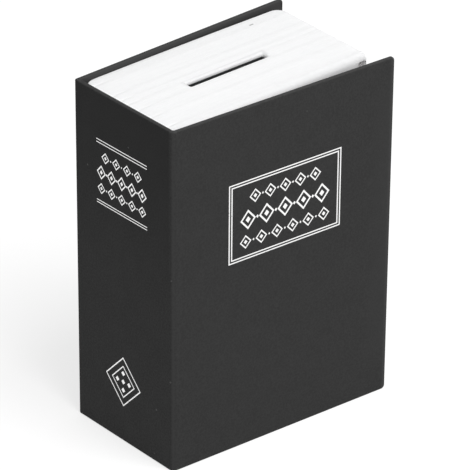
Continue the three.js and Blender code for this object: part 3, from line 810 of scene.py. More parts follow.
# %% Paper on a board
PAPER_THICK = 0.25
SKIN = 0.02  # the paper lies this far inside the boards' box, so that the foil on it stays within
BOARD_CORNER = 2.0
BOARD_CORNER_STEPS = 6
EDGE_ROUND = 0.8
EDGE_STEPS = 4
TURN_IN = 14.0


def open_inside(bm, planes):
    """Takes away what lies within the turn-ins, in planes that are given by axis and value."""
    for axis, value in planes:
        slice_faces(bm, faces_in_plane(bm, axis, value), (WIDTH - TURN_IN, 0, 0), (1, 0, 0))
        for limit in (TURN_IN, HEIGHT - TURN_IN):
            slice_faces(bm, faces_in_plane(bm, axis, value), (0, 0, limit), (0, 0, 1))
    inside = []
    for axis, value in planes:
        for face in faces_in_plane(bm, axis, value):
            centre = face.calc_center_median()
            if centre.x < WIDTH - TURN_IN and TURN_IN < centre.z < HEIGHT - TURN_IN:
                inside.append(face)
    remove_faces(bm, inside)


def as_paper(piece):
    thickened(piece, PAPER_THICK, even=True)
    even_shading(piece)


print("turn-in:", TURN_IN, "mm, paper:", PAPER_THICK, "mm")

# %% Front cover
bm = bmesh.new()
add_box(bm, (JOINT, SKIN, 0), (WIDTH, THICK, HEIGHT))
fore_edges = edges_along(bm, 1, lambda spot: spot.x > WIDTH - NEAR)
round_edges(bm, fore_edges, BOARD_CORNER, BOARD_CORNER_STEPS)
round_edges(bm, sharp_edges(bm, lambda spot: spot.x > JOINT + NEAR), EDGE_ROUND, EDGE_STEPS)
remove_faces(bm, faces_in_plane(bm, 0, JOINT))
open_inside(bm, [(1, THICK)])
as_paper(
    finished("front_cover_paper", bm, "front_cover", "covering", ["covering_front"], PAPER["front_cover"])
)

# %% Spine and back cover
CASE_CORNER = 0.9
inner_back = DEPTH - THICK

bm = bmesh.new()
plan = [
    (SKIN, JOINT),
    (SKIN, DEPTH),
    (WIDTH, DEPTH),
    (WIDTH, inner_back),
    (THICK, inner_back),
    (THICK, JOINT),
]
base = bm.faces.new([bm.verts.new((x, y, 0)) for x, y in plan])
extruded(bm, [base], (0, 0, HEIGHT))
bmesh.ops.recalc_face_normals(bm, faces=bm.faces)
outer_corner = edges_along(bm, 2, lambda spot: spot.x < THICK / 2 and spot.y > DEPTH - NEAR)
round_edges(bm, outer_corner, CASE_CORNER, BOARD_CORNER_STEPS)
fore_edges = edges_along(bm, 1, lambda spot: spot.x > WIDTH - NEAR)
round_edges(bm, fore_edges, BOARD_CORNER, BOARD_CORNER_STEPS)


def on_outer_edge(spot):
    inner_corner = abs(spot.x - THICK) < NEAR and abs(spot.y - inner_back) < NEAR
    return spot.y > JOINT + NEAR and not inner_corner


round_edges(bm, sharp_edges(bm, on_outer_edge), EDGE_ROUND, EDGE_STEPS)
remove_faces(bm, faces_in_plane(bm, 1, JOINT))
open_inside(bm, [(1, inner_back), (0, THICK)])
replaced = ["covering_spine", "covering_back", "covering_back_joint"]
as_paper(finished("case_paper", bm, "case", "covering", replaced))

# %% [markdown]
# ## The joint of the front cover
# Between the spine and the front cover only paper bends, in a soft quarter round. It is made by
# spinning the section of the spine's end about the centre of that round, so both its ends meet
# their neighbours exactly: the case at one end, and the front cover as it stands ajar at the other.

# %% Spin the joint
JOINT_STEPS = 36
joint_turn = math.pi / 2 + AJAR
joint_radius = JOINT / math.tan(joint_turn / 2)
bm = bmesh.new()
end_corners = [(SKIN, 0), (THICK, 0), (THICK, HEIGHT), (SKIN, HEIGHT)]
section = bm.faces.new([bm.verts.new((x, JOINT, z)) for x, z in end_corners])
bmesh.ops.bevel(
    bm,
    geom=section.verts[:],
    offset=EDGE_ROUND,
    offset_type="OFFSET",
    affect="VERTICES",
    segments=EDGE_STEPS,
    profile=0.5,
    material=-1,
)
section = bm.faces[:][0]
outline = section.edges[:] + section.verts[:]
bmesh.ops.spin(
    bm,
    geom=outline,
    cent=(joint_radius, JOINT, 0),
    axis=(0, 0, 1),
    dvec=(0, 0, 0),
    angle=joint_turn,
    steps=JOINT_STEPS,
    use_merge=False,
    use_duplicate=False,
)
remove_faces(bm, faces_in_plane(bm, 1, JOINT))
bmesh.ops.recalc_face_normals(bm, faces=bm.faces)
replaced = ["covering_front_joint"]
joint_paper = finished("joint_paper", bm, "case", "covering", replaced, PAPER["joint"], PLACES["case"])
rest_place = joint_paper.data.attributes.new("rest_place", "FLOAT_VECTOR", "POINT")
for vertex in joint_paper.data.vertices:
    rest_place.data[vertex.index].vector = vertex.co
as_paper(joint_paper)
bend_start = PLACES["case"] @ Vector((THICK, JOINT, 0))
bend_end = PLACES["front_cover"] @ Vector((JOINT, THICK, 0))
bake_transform(joint_paper)
bend = (bend_end - bend_start).length / MM
print("joint radius:", round(joint_radius, 2), "mm, bend:", round(bend, 2), "mm")

# %% [markdown]
# ## The page block
# The pages are one white moulding. Ridges along its head, tail and fore edge stand for bundles of
# pages of uneven thickness: at each the surface steps down and then rises in a curve to the next,
# and a short notch runs in along the step from the end beside the spine. The block starts as a box
# that is cut into many thin slices, and each point on its outside is then lowered by the height of
# the ridge there. The pages also lie a little turned in their case.

# %% Ridges
STEPS = (8.0, 19.4, 28.5, 35.5, 40.2, 46.3, 59.0)  # millimetres from the front, in mid length
TURN = 0.0157  # how far the pages run to the front, per millimetre along the head
STEP_DEPTH = 0.23
STEP_WIDTH = 3.2
NOTCH_DEPTH = 1.6
NOTCH_REACH = 3.2
NOTCH_HALF_WIDTH = 0.6
SWAY = 0.5  # how far the steps sway from a straight line
SWAY_LENGTH = 45
GRAIN_HEIGHT = 0.03  # fine ridges on the large ones
GRAIN_PER_MM = 0.9
GRAIN_LENGTH = 60
SWAY_ROW, GRAIN_ROW = 7.3, 3.1  # where in the noise each is read
BLOCK_EDGE = 0.9


def smooth(share):
    share = min(1, max(0, share))
    return share * share * (3 - 2 * share)


def page_dip(y, along):
    """How far the pages lie below the highest ones, at a place round the edge of the block."""
    length = block_high.x - block_low.x
    along_head = min(along, length)
    behind = (y - block_low.y) / (block_high.y - block_low.y)
    wander = TURN * (length / 2 - along_head + behind * along_head**2 / length)
    wander += SWAY * noise.noise(Vector((along / SWAY_LENGTH, SWAY_ROW, 0)))
    at = y - wander
    dip = 0.0
    ends = (*STEPS, block_high.y + STEP_WIDTH)
    for low, high in zip(ends, ends[1:]):
        if low - STEP_WIDTH / 2 < at:
            slope = STEP_DEPTH * (1 - min(1, max(0, (at - low) / (high - low))) ** 2)
            share = min(1, (at - low) / STEP_WIDTH + 0.5)
            share = (share + smooth(share)) / 2
            dip = dip * (1 - share) + slope * share
    nearest = min(abs(at - step) for step in STEPS)
    notch = NOTCH_DEPTH * math.exp(-((nearest / NOTCH_HALF_WIDTH) ** 2)) * math.exp(-along / NOTCH_REACH)
    grain_place = Vector((at * GRAIN_PER_MM, along / GRAIN_LENGTH, GRAIN_ROW))
    return dip + notch + GRAIN_HEIGHT * noise.noise(grain_place)


def lowered(point):
    """Where a point of the plain block goes once the pages are ridged."""
    over_fore = max(0, point.x - (block_high.x - BLOCK_EDGE))
    middle = (block_low.z + block_high.z) / 2
    over_end = max(0, abs(point.z - middle) - ((block_high.z - block_low.z) / 2 - BLOCK_EDGE))
    outward = Vector((over_fore, 0, math.copysign(over_end, point.z - middle)))
    if outward.length < NEAR:
        return point
    along_head = point.x - block_low.x
    down_fore = (block_high.z - point.z) if over_fore > 0 else 0
    weight = min(1, outward.length / BLOCK_EDGE)
    return point - outward.normalized() * weight * page_dip(point.y, along_head + down_fore)


def turned_back(point):
    """Where a point goes as the pages turn a little in their case, with the front kept in line."""
    length, depth = block_high.x - block_low.x, block_high.y - block_low.y
    along = (point.x - block_low.x) / length
    behind = (point.y - block_low.y) / depth
    return point - Vector((along * (1 - behind) * depth, behind * along**2 * length, 0)) * TURN


print("dips across the head:", [round(page_dip(y, WIDTH / 2), 2) for y in (15, 25, 35, 45, 55)], "mm")


# %% The solid block
BLOCK_FRONT_EDGE = 3.6
BLOCK_FRONT_STEPS = 9
BLOCK_BACK_CORNERS = (7.0, 5.5)  # beside the spine and at the fore edge
SLICE = 0.5
STRIP = 4.0
NOTCH_CUTS = (0.8, 1.6, 2.4, 3.2)  # more cuts beside the spine, for the short notches


def tray(bm, low, high, corners, steps=8):
    """A box with two rounded upright edges at the back: first the one beside the spine."""
    add_box(bm, low, high)
    for end, radius in zip((low[0], high[0]), corners):
        upright = edges_along(bm, 2, lambda spot: spot.y > high[1] - NEAR and abs(spot.x - end) < NEAR)
        round_edges(bm, upright, radius, steps)


def slices(low, high, step):
    count = round((high - low) / step)
    return [low + (high - low) * i / count for i in range(1, count)]


def slice_all(bm, axis, places):
    direction = Vector([float(i == axis) for i in range(3)])
    for place in places:
        everything = bm.verts[:] + bm.edges[:] + bm.faces[:]
        bmesh.ops.bisect_plane(bm, geom=everything, plane_co=direction * place, plane_no=direction)


bm = bmesh.new()
tray(bm, block_low, block_high, BLOCK_BACK_CORNERS)
front_edges = edges_along(bm, 0, lambda spot: spot.y < block_low.y + NEAR)
round_edges(bm, front_edges, BLOCK_FRONT_EDGE, BLOCK_FRONT_STEPS)
round_edges(bm, sharp_edges(bm), BLOCK_EDGE, 3)
slice_all(bm, 1, slices(block_low.y + BLOCK_FRONT_EDGE, block_high.y, SLICE))
slice_all(bm, 0, [block_low.x + reach for reach in NOTCH_CUTS])
slice_all(bm, 0, slices(block_low.x, block_high.x, STRIP))
slice_all(bm, 2, slices(block_low.z, block_high.z, STRIP))
for vertex in bm.verts:
    vertex.co = turned_back(lowered(vertex.co.copy()))
print("block before its cuts:", len(bm.faces), "faces")
page_block = finished("page_moulding", bm, "case", "pages", ["page_block"])

# %% [markdown]
# A boolean modifier shapes one mesh by another. It is used here and then applied, because a live
# one would keep the tool in the scene. It cuts the mouth for the lid and the hollow behind it.

# %% Shape one piece by another
def shaped_by(piece, bm, place, operation="DIFFERENCE"):
    """Takes a closed shape out of a piece for good, or keeps only what lies in it."""
    bm.transform(place)
    tool_mesh = bpy.data.meshes.new("tool")
    bm.to_mesh(tool_mesh)
    bm.free()
    tool = bpy.data.objects.new("tool", tool_mesh)
    bpy.context.scene.collection.objects.link(tool)
    modifier = piece.modifiers.new("Shape", "BOOLEAN")
    modifier.operation = operation
    modifier.solver = "EXACT"
    modifier.object = tool
    bpy.context.view_layer.update()
    evaluated = piece.evaluated_get(bpy.context.evaluated_depsgraph_get())
    shaped_mesh = bpy.data.meshes.new_from_object(evaluated)
    piece.modifiers.clear()
    old = piece.data
    piece.data = shaped_mesh
    bpy.data.meshes.remove(old)
    bpy.data.objects.remove(tool)
    bpy.data.meshes.remove(tool_mesh)


def reshade(piece):
    """Marks the sharp edges again after a cut."""
    bm = bmesh.new()
    bm.from_mesh(piece.data)
    mark_sharp(bm)
    bm.to_mesh(piece.data)
    bm.free()


def soften(piece, body, radius, segments=2):
    """Rounds the sharp edges of a finished piece a little."""
    bm = bmesh.new()
    bm.from_mesh(piece.data)
    bm.transform(PLACES[body].inverted())
    bmesh.ops.dissolve_limit(bm, angle_limit=math.radians(1), verts=bm.verts[:], edges=bm.edges[:])
    round_edges(bm, sharp_edges(bm), radius, segments)
    bm.transform(PLACES[body])
    bm.to_mesh(piece.data)
    bm.free()
    reshade(piece)


def plate_with_corners(bm, low, high, radius, steps=6):
    """A box from low to high whose four edges along Y are rounded."""
    add_box(bm, low, high)
    round_edges(bm, edges_along(bm, 1), radius, steps)


print("shapes are cut with", shaped_by.__name__, "and softened with", soften.__name__)

# %% Hollow the block
BLOCK_RIM = 6.0
RIM_CORNER = 3.0
BLOCK_WALL = 1.8
BLOCK_INNER_CORNERS = [corner - BLOCK_WALL for corner in BLOCK_BACK_CORNERS]
BOX_GAP = 0.3
OVERRUN = 1.0  # how far a cutting shape goes past the piece
box_low, box_high = shut_box("steel_box")
frame_low, frame_high = shut_box("box_frame")

bm = bmesh.new()
plate_with_corners(
    bm,
    (block_low.x + BLOCK_RIM, block_low.y - OVERRUN, block_low.z + BLOCK_RIM),
    (block_high.x - BLOCK_RIM, frame_low.y + OVERRUN, block_high.z - BLOCK_RIM),
    RIM_CORNER,
)
shaped_by(page_block, bm, PLACES["case"])

bm = bmesh.new()
tray(
    bm,
    (box_low.x - BOX_GAP, frame_low.y, box_low.z - BOX_GAP),
    (box_high.x + BOX_GAP, block_high.y + 5 * NEAR, box_high.z + BOX_GAP),
    BLOCK_INNER_CORNERS,
)
shaped_by(page_block, bm, PLACES["case"])
print("hollow block:", len(page_block.data.polygons), "faces")

# %% [markdown]
# The slot is cut by a flat bar that is flared at its top, which leaves a rounded lip in the plastic.
# It lies a little turned, along the pages. A small recess in the rim's corner, beside the fore edge,
# is cut last.

# %% Cut the coin slot
SLOT_LENGTH = 46.4
SLOT_WIDTH = 4.25
SLOT_Y = 33.27
SLOT_SHIFT = -0.5  # from the middle of the block's length
SLOT_CORNER = 0.9
SLOT_TURN = math.radians(-0.9)
LIP = 1.35
LIP_STEPS = 8
LIP_DROP = 0.1  # the lip's top lies this far below the highest pages
END_STEPS = 5


def at_slot(height):
    """The place of the slot's middle at a height."""
    spot = ((block_low.x + block_high.x) / 2 + SLOT_SHIFT, SLOT_Y, height)
    return PLACES["case"] @ Matrix.Translation(spot) @ Matrix.Rotation(SLOT_TURN, 4, "Z")


lip_start = BLOCK_WALL + OVERRUN
bm = bmesh.new()
add_box(bm, (-SLOT_LENGTH / 2, -SLOT_WIDTH / 2, 0), (SLOT_LENGTH / 2, SLOT_WIDTH / 2, lip_start))
round_edges(bm, edges_along(bm, 2), SLOT_CORNER, END_STEPS)
top = faces_in_plane(bm, 2, lip_start)
for step in range(1, LIP_STEPS + 2):
    turn = math.pi / 2 * min(step, LIP_STEPS) / LIP_STEPS
    flare = LIP * (1 - math.cos(turn))
    rise = lip_start + LIP * math.sin(turn) + (OVERRUN if step > LIP_STEPS else 0)
    below = top
    top, corners = extruded(bm, below)
    remove_faces(bm, below)
    for vertex in corners:
        vertex.co.z = rise
    stretch = (SLOT_LENGTH / 2 + flare) / max(v.co.x for v in corners)
    widen = (SLOT_WIDTH / 2 + flare) / max(v.co.y for v in corners)
    bmesh.ops.scale(bm, vec=(stretch, widen, 1), verts=corners)
bmesh.ops.recalc_face_normals(bm, faces=bm.faces)
shaped_by(page_block, bm, at_slot(block_high.z - lip_start - LIP - LIP_DROP))
print("coin slot:", SLOT_LENGTH, "by", SLOT_WIDTH, "mm")

# %% Cut the recess in the rim's corner
RECESS_LOW, RECESS_HIGH = (114.9, 0, 170.4), (120.3, 6.0, 175.0)
RECESS_CORNER = 1.9

bm = bmesh.new()
plate_with_corners(bm, RECESS_LOW, RECESS_HIGH, RECESS_CORNER, 5)
shaped_by(page_block, bm, PLACES["case"])
reshade(page_block)
even_shading(page_block)
print("page block:", len(page_block.data.polygons), "faces")

# %% [markdown]
# ## The steel box
# Behind the pages sits a pressed steel tray, open to the front, with a frame round its mouth. The
# tray is a box with rounded back corners: its front face is taken off, and a Solidify modifier
# gives the rest the thickness of sheet steel. Its own coin slot is a little wider than the one
# above it.

# %% Tray
BOX_SHEET = 1.0
BOX_BEND = 1.6
BOX_CORNERS = [corner - BOX_GAP for corner in BLOCK_INNER_CORNERS]
BOX_SLOT_MARGIN = 0.5

bm = bmesh.new()
tray(bm, (box_low.x, frame_high.y, box_low.z), box_high, BOX_CORNERS)
round_edges(bm, sharp_edges(bm, lambda spot: spot.y > frame_high.y + NEAR), BOX_BEND, 4)
remove_faces(bm, faces_in_plane(bm, 1, frame_high.y))
steel_tray = finished("steel_tray", bm, "case", "painted_steel", ["steel_box"])
thickened(steel_tray, BOX_SHEET)

bm = bmesh.new()
half_slot = Vector((SLOT_LENGTH / 2 + BOX_SLOT_MARGIN, SLOT_WIDTH / 2 + BOX_SLOT_MARGIN, 0))
add_box(bm, -half_slot - Vector((0, 0, 3 * BOX_SHEET)), half_slot + Vector((0, 0, OVERRUN)))
round_edges(bm, edges_along(bm, 2), SLOT_CORNER + BOX_SLOT_MARGIN, END_STEPS)
shaped_by(steel_tray, bm, at_slot(box_high.z))
reshade(steel_tray)
even_shading(steel_tray)

# %% Frame and strike plate
KNUCKLE_RADIUS = 1.5
LID_LAP = 5.0
MOUTH_CORNER = 3.0
PUNCHED_EDGE = 0.25
STRIKE_CORNER = 2.0
lid_low, lid_high = shut_box("lid")
hinge_place = PLACES["case"].inverted() @ LID_AXIS

bm = bmesh.new()
add_box(bm, frame_low, frame_high)
steel_frame = finished("steel_frame", bm, "case", "painted_steel", ["box_frame"])
bm = bmesh.new()
plate_with_corners(
    bm,
    (hinge_place.x + KNUCKLE_RADIUS, frame_low.y - OVERRUN, lid_low.z + LID_LAP),
    (lid_high.x - LID_LAP, frame_high.y + OVERRUN, lid_high.z - LID_LAP),
    MOUTH_CORNER,
)
shaped_by(steel_frame, bm, PLACES["case"])
soften(steel_frame, "case", PUNCHED_EDGE)
even_shading(steel_frame)

bm = bmesh.new()
add_box(bm, *shut_box("strike_plate"))
free_end = edges_along(bm, 1, lambda spot: spot.x < box_high.x - 2 * OVERRUN)
round_edges(bm, free_end, STRIKE_CORNER, 5)
round_edges(bm, sharp_edges(bm), PUNCHED_EDGE, 2)
even_shading(finished("strike_tab", bm, "case", "painted_steel", ["strike_plate"]))

# %% [markdown]
# ## The lid and its hinge
# The lid is a shallow pan with folded edges. Its hinge is the long kind that is cut from a strip:
# each leaf is flat, and tabs of it are rolled round the pin in turn. A turned shape, such as a
# knuckle, a rivet or the pin, is a profile spun once round its axis.

# %% Turned shapes
ROUND_STEPS = 48
DOME_STEPS = 7
MERGED = 1e-5  # millimetres between points that are made one


def turned(bm, profile, centre, axis, closed=False, steps=ROUND_STEPS):
    """A solid of revolution. Each point of the profile is a radius and a place along the axis."""
    centre = Vector(centre)
    along = Vector([float(i == axis) for i in range(3)])
    side = Vector([float(i == 0) for i in range(3)])
    points = [bm.verts.new(centre + side * radius + along * place) for radius, place in profile]
    pairs = list(zip(points, points[1:]))
    if closed:
        pairs.append((points[-1], points[0]))
    lines = [bm.edges.new(pair) for pair in pairs]
    before = set(bm.verts) - set(points)
    bmesh.ops.spin(
        bm,
        geom=points + lines,
        cent=centre,
        axis=along,
        dvec=(0, 0, 0),
        angle=2 * math.pi,
        steps=steps,
        use_merge=True,
        use_duplicate=False,
    )
    made = [vertex for vertex in bm.verts if vertex not in before]
    bmesh.ops.remove_doubles(bm, verts=made, dist=MERGED)
    bmesh.ops.recalc_face_normals(bm, faces=bm.faces)


def rod_profile(low, high, radius, edge):
    """Half the section of a rod with chamfered ends."""
    start = [(0, low), (radius - edge, low), (radius, low + edge)]
    return [*start, (radius, high - edge), (radius - edge, high), (0, high)]


def ring_section(inner, outer, low, high):
    """The section of a flat ring, for a closed profile."""
    return [(inner, low), (outer, low), (outer, high), (inner, high)]


def dome_profile(base, top, radius, shank, tip):
    """Half the section of a rivet: a dome from its base to its top, and a shank to the tip."""
    turns = [math.pi / 2 * i / DOME_STEPS for i in range(DOME_STEPS + 1)]
    dome = [(radius * math.sin(turn), base + (top - base) * math.cos(turn)) for turn in turns]
    return [*dome, (shank, base), (shank, tip), (0, tip)]


print("a full turn takes", ROUND_STEPS, "steps")

# %% Lid
LID_SHEET = 1.0
LID_BEND = 1.3
LID_CORNER = 3.0
FIT = 0.1  # the play between parts that go into each other
BARREL_RADIUS = 6.0
BARREL_FLAT = 5.2
lock_low, lock_high = shut_box("lock_barrel")
lock_axis = (lock_low + lock_high) / 2
lock_centre = (lock_axis.x, 0, lock_axis.z)


def flatten(bm, centre, flat, beyond):
    """Presses two flats on a rod along Y, where it lies beyond a plane."""
    for vertex in bm.verts:
        if vertex.co.y > beyond:
            off = vertex.co.x - centre.x
            vertex.co.x = centre.x + min(flat, max(-flat, off))


bm = bmesh.new()
add_box(bm, lid_low, lid_high)
round_edges(bm, edges_along(bm, 1, lambda spot: spot.x > lid_high.x - NEAR), LID_CORNER, 6)
round_edges(bm, sharp_edges(bm, lambda spot: spot.y < lid_low.y + NEAR), LID_BEND, 4)
remove_faces(bm, faces_in_plane(bm, 1, lid_high.y))
lid_pan = finished("lid_pan", bm, "lid", "painted_steel", ["lid"])
thickened(lid_pan, LID_SHEET)

bm = bmesh.new()
lid_inside = lid_low.y + LID_SHEET
hole = rod_profile(lid_low.y - OVERRUN, lid_inside + OVERRUN, BARREL_RADIUS + FIT, NEAR)
turned(bm, hole, lock_centre, 1)
flatten(bm, lock_axis, BARREL_FLAT + FIT, lid_low.y - 2 * OVERRUN)
shaped_by(lid_pan, bm, PLACES["lid"])
reshade(lid_pan)
even_shading(lid_pan)

# %% Hinge leaves and pin
KNUCKLES = 5
KNUCKLE_GAP = 0.4
PIN_CLEARANCE = 0.15
LEAF_EDGE = 0.2
LEAF_WIDTH = 8
LEAF_THICK = 0.8
PIN_EDGE = 0.25
pin_low, pin_high = shut_box("hinge_pin")
pin_radius = (pin_high.x - pin_low.x) / 2
knuckle_pitch = (pin_high.z - pin_low.z) / KNUCKLES


def knuckle_section():
    """The section of a rolled tab: a tube with slightly rounded ends."""
    inner = pin_radius + PIN_CLEARANCE
    low, high = KNUCKLE_GAP / 2, knuckle_pitch - KNUCKLE_GAP / 2
    return [(inner, low), *rod_profile(low, high, KNUCKLE_RADIUS, LEAF_EDGE)[1:-1], (inner, high)]


def hinge_leaf(name, body, node, first):
    """A leaf with every second knuckle, from the first."""
    low, high = shut_box(node)
    on_case = body == "case"
    front = high.y - LEAF_THICK if on_case else low.y
    back = high.y if on_case else low.y + LEAF_THICK
    near, far = (low.x, low.x + LEAF_WIDTH) if on_case else (high.x - LEAF_WIDTH, high.x)
    bm = bmesh.new()
    add_box(bm, (near, front, pin_low.z), (far, back, pin_high.z))
    for i in range(first, KNUCKLES, 2):
        bottom = pin_low.z + i * knuckle_pitch + KNUCKLE_GAP / 2
        top = bottom + knuckle_pitch - KNUCKLE_GAP
        tab = (far, hinge_place.x) if on_case else (hinge_place.x, near)
        add_box(bm, (tab[0] - LEAF_EDGE, front, bottom), (tab[1] + LEAF_EDGE, back, top))
    round_edges(bm, sharp_edges(bm), LEAF_EDGE, 2)
    for i in range(first, KNUCKLES, 2):
        start = (hinge_place.x, hinge_place.y, pin_low.z + i * knuckle_pitch)
        turned(bm, knuckle_section(), start, 2, closed=True)
    even_shading(finished(name, bm, body, "zinc_steel", [node]))


hinge_leaf("hinge_case_leaf", "case", "hinge_leaf_box", 0)
hinge_leaf("hinge_lid_leaf", "lid", "hinge_leaf_lid", 1)
bm = bmesh.new()
turned(bm, rod_profile(pin_low.z, pin_high.z, pin_radius, PIN_EDGE), (hinge_place.x, hinge_place.y, 0), 2)
finished("hinge_rod", bm, "case", "zinc_steel", ["hinge_pin"])


# %% Rivets
def rivet(name, body, node, head_thick, shank, head_at_back=True):
    """A rivet along Y with a domed head at the front, and one at the back where it has one."""
    low, high = shut_box(node)
    centre = ((low.x + high.x) / 2, 0, (low.z + high.z) / 2)
    radius = (high.z - low.z) / 2
    bm = bmesh.new()
    turned(bm, dome_profile(low.y + head_thick, low.y, radius, shank, high.y - head_thick / 2), centre, 1)
    if head_at_back:
        turned(bm, dome_profile(high.y - head_thick, high.y, radius, shank, low.y + head_thick), centre, 1)
    finished(name, bm, body, "zinc_steel", [node])


HINGE_RIVET = (0.8, 1.2)  # thickness of the head and radius of the shank
BOX_RIVET = (1.0, 1.6)
for i in range(1, 4):
    rivet(f"case_hinge_rivet_{i}", "case", f"hinge_rivet_box_{i}", *HINGE_RIVET)
    rivet(f"lid_hinge_rivet_{i}", "lid", f"hinge_rivet_lid_{i}", *HINGE_RIVET)
for i in range(1, 5):
    rivet(f"floor_rivet_{i}", "case", f"box_rivet_{i}", *BOX_RIVET, head_at_back=False)

# %% [markdown]
# ## The cam lock
# A cam lock is a threaded barrel with a round head, pushed through the lid and held by a nut from
# behind. A key would turn the brass plug in it, and the plug turns the cam. Two flats on the barrel
# keep it from turning in its hole, so its threads are cut away there.

# %% Barrel and washer
THREAD_PITCH = 1.0
THREAD_DEPTH = 0.3
THREAD_START = 0.5
CREST = (0.45, 0.55)  # where the top of a thread lies in the pitch
PLUG_RADIUS = 3.6
HEAD_THICK = 1.4
BORE_LIP = ((0, 0.35), (0.25, 0.1), (0.6, 0))  # steps outwards from the bore, and down from the front
HEAD_EDGE = ((-1.1, 0), (-0.35, 0.3), (0, 0.8))  # the same from the head's rim
BARREL_END = 0.5
head_radius = (lock_high.z - lock_low.z) / 2
head_back = lock_low.y + HEAD_THICK


def barrel_section():
    front, end, bore = lock_low.y, lock_high.y, PLUG_RADIUS + FIT
    points = [(bore + out, front + down) for out, down in BORE_LIP]
    points += [(head_radius + out, front + down) for out, down in HEAD_EDGE]
    points += [(head_radius, head_back), (BARREL_RADIUS, head_back)]
    turns = int((end - head_back - THREAD_PITCH) / THREAD_PITCH)
    for i in range(turns):
        start = head_back + THREAD_START + i * THREAD_PITCH
        points.append((BARREL_RADIUS - THREAD_DEPTH, start))
        points += [(BARREL_RADIUS, start + THREAD_PITCH * share) for share in CREST]
    return [*points, (BARREL_RADIUS - BARREL_END, end), (bore, end)]


bm = bmesh.new()
turned(bm, barrel_section(), lock_centre, 1, closed=True, steps=64)
flatten(bm, lock_axis, BARREL_FLAT, head_back + NEAR)
finished("lock_case", bm, "lid", "chrome", ["lock_barrel"])

WASHER_EDGE = 0.12
washer_low, washer_high = shut_box("lock_washer")
washer_radius = (washer_high.z - washer_low.z) / 2

bm = bmesh.new()
washer = ring_section(BARREL_RADIUS + FIT, washer_radius, washer_low.y, washer_high.y)
turned(bm, washer, lock_centre, 1, closed=True)
round_edges(bm, sharp_edges(bm, angle=60), WASHER_EDGE, 2)
finished("flat_washer", bm, "lid", "zinc_steel", ["lock_washer"])

# %% [markdown]
# The nut starts as a ring. Its outer points are then drawn in to six flats, and a chamfered rod
# keeps only what lies in it, which rounds the six corners.

# %% Nut
NUT_CHAMFER = 0.8
nut_low, nut_high = shut_box("lock_nut")
nut_radius = (nut_high.z - nut_low.z) / 2
flat = nut_radius * math.cos(math.pi / 6)

bm = bmesh.new()
ring = ring_section(BARREL_RADIUS + FIT, nut_radius, nut_low.y, nut_high.y)
turned(bm, ring, lock_centre, 1, closed=True, steps=72)
for vertex in bm.verts:
    off = Vector((vertex.co.x - lock_axis.x, 0, vertex.co.z - lock_axis.z))
    if off.length > nut_radius - NEAR:
        # The corners point along Z, so the middles of the six flats lie at 0, 60, 120 degrees and on.
        turn = math.atan2(off.z, off.x)
        from_flat = (turn + math.pi / 6) % (math.pi / 3) - math.pi / 6
        off *= flat / math.cos(from_flat) / off.length
        vertex.co.x = lock_axis.x + off.x
        vertex.co.z = lock_axis.z + off.z
nut = finished("hexagon_nut", bm, "lid", "zinc_steel", ["lock_nut"])
bm = bmesh.new()
turned(bm, rod_profile(nut_low.y, nut_high.y, nut_radius + FIT, NUT_CHAMFER), lock_centre, 1)
shaped_by(nut, bm, PLACES["lid"], "INTERSECT")
reshade(nut)

# %% Plug
PLUG_EDGE = 0.25
KEYWAY = Vector((1.5, 0, 5.6))
KEYWAY_DEPTH = 8.0
KEYWAY_CORNER = 0.2
SQUARE_HALF = 2.5
SQUARE_EDGE = 0.4
plug_low, plug_high = shut_box("lock_plug")

bm = bmesh.new()
turned(bm, rod_profile(plug_low.y, lock_high.y, PLUG_RADIUS, PLUG_EDGE), lock_centre, 1)
plug = finished("key_plug", bm, "lock", "brass", ["lock_plug"])
bm = bmesh.new()
front = Vector((lock_axis.x, plug_low.y, lock_axis.z))
add_box(bm, front - KEYWAY / 2 - Vector((0, OVERRUN, 0)), front + KEYWAY / 2 + Vector((0, KEYWAY_DEPTH, 0)))
round_edges(bm, edges_along(bm, 1), KEYWAY_CORNER, 3)
shaped_by(plug, bm, PLACES["lock"])
reshade(plug)


def add_bar_at_lock(bm, half_width, half_height, front, back):
    """A bar along the lock's axis."""
    add_box(
        bm,
        (lock_axis.x - half_width, front, lock_axis.z - half_height),
        (lock_axis.x + half_width, back, lock_axis.z + half_height),
    )


bm = bmesh.new()
add_bar_at_lock(bm, SQUARE_HALF, SQUARE_HALF, lock_high.y, plug_high.y)
round_edges(bm, edges_along(bm, 1), SQUARE_EDGE, 3)
finished("plug_square", bm, "lock", "brass")

# %% Cam and screw
CAM_CORNER = 3.0
CAM_EDGE = 0.2
SCREW_SHANK = 1.4
SCREW_REACH = 2
SCREW_FLAT = 1.35  # how much the dome is raised before it is cut off flat
SCREW_SLOT_WIDTH = 1.0
SCREW_SLOT_DEPTH = 0.7
cam_low, cam_high = shut_box("lock_cam")
screw_low, screw_high = shut_box("cam_screw")
screw_radius = (screw_high.z - screw_low.z) / 2
head_base = cam_high.y + FIT
head_height = screw_high.y - head_base

bm = bmesh.new()
plate_with_corners(bm, cam_low, cam_high, CAM_CORNER)
cam = finished("cam_arm", bm, "lock", "zinc_steel", ["lock_cam"])
bm = bmesh.new()
add_bar_at_lock(bm, SQUARE_HALF + FIT, SQUARE_HALF + FIT, cam_low.y - OVERRUN, cam_high.y + OVERRUN)
shaped_by(cam, bm, PLACES["lock"])
soften(cam, "lock", CAM_EDGE)
even_shading(cam)

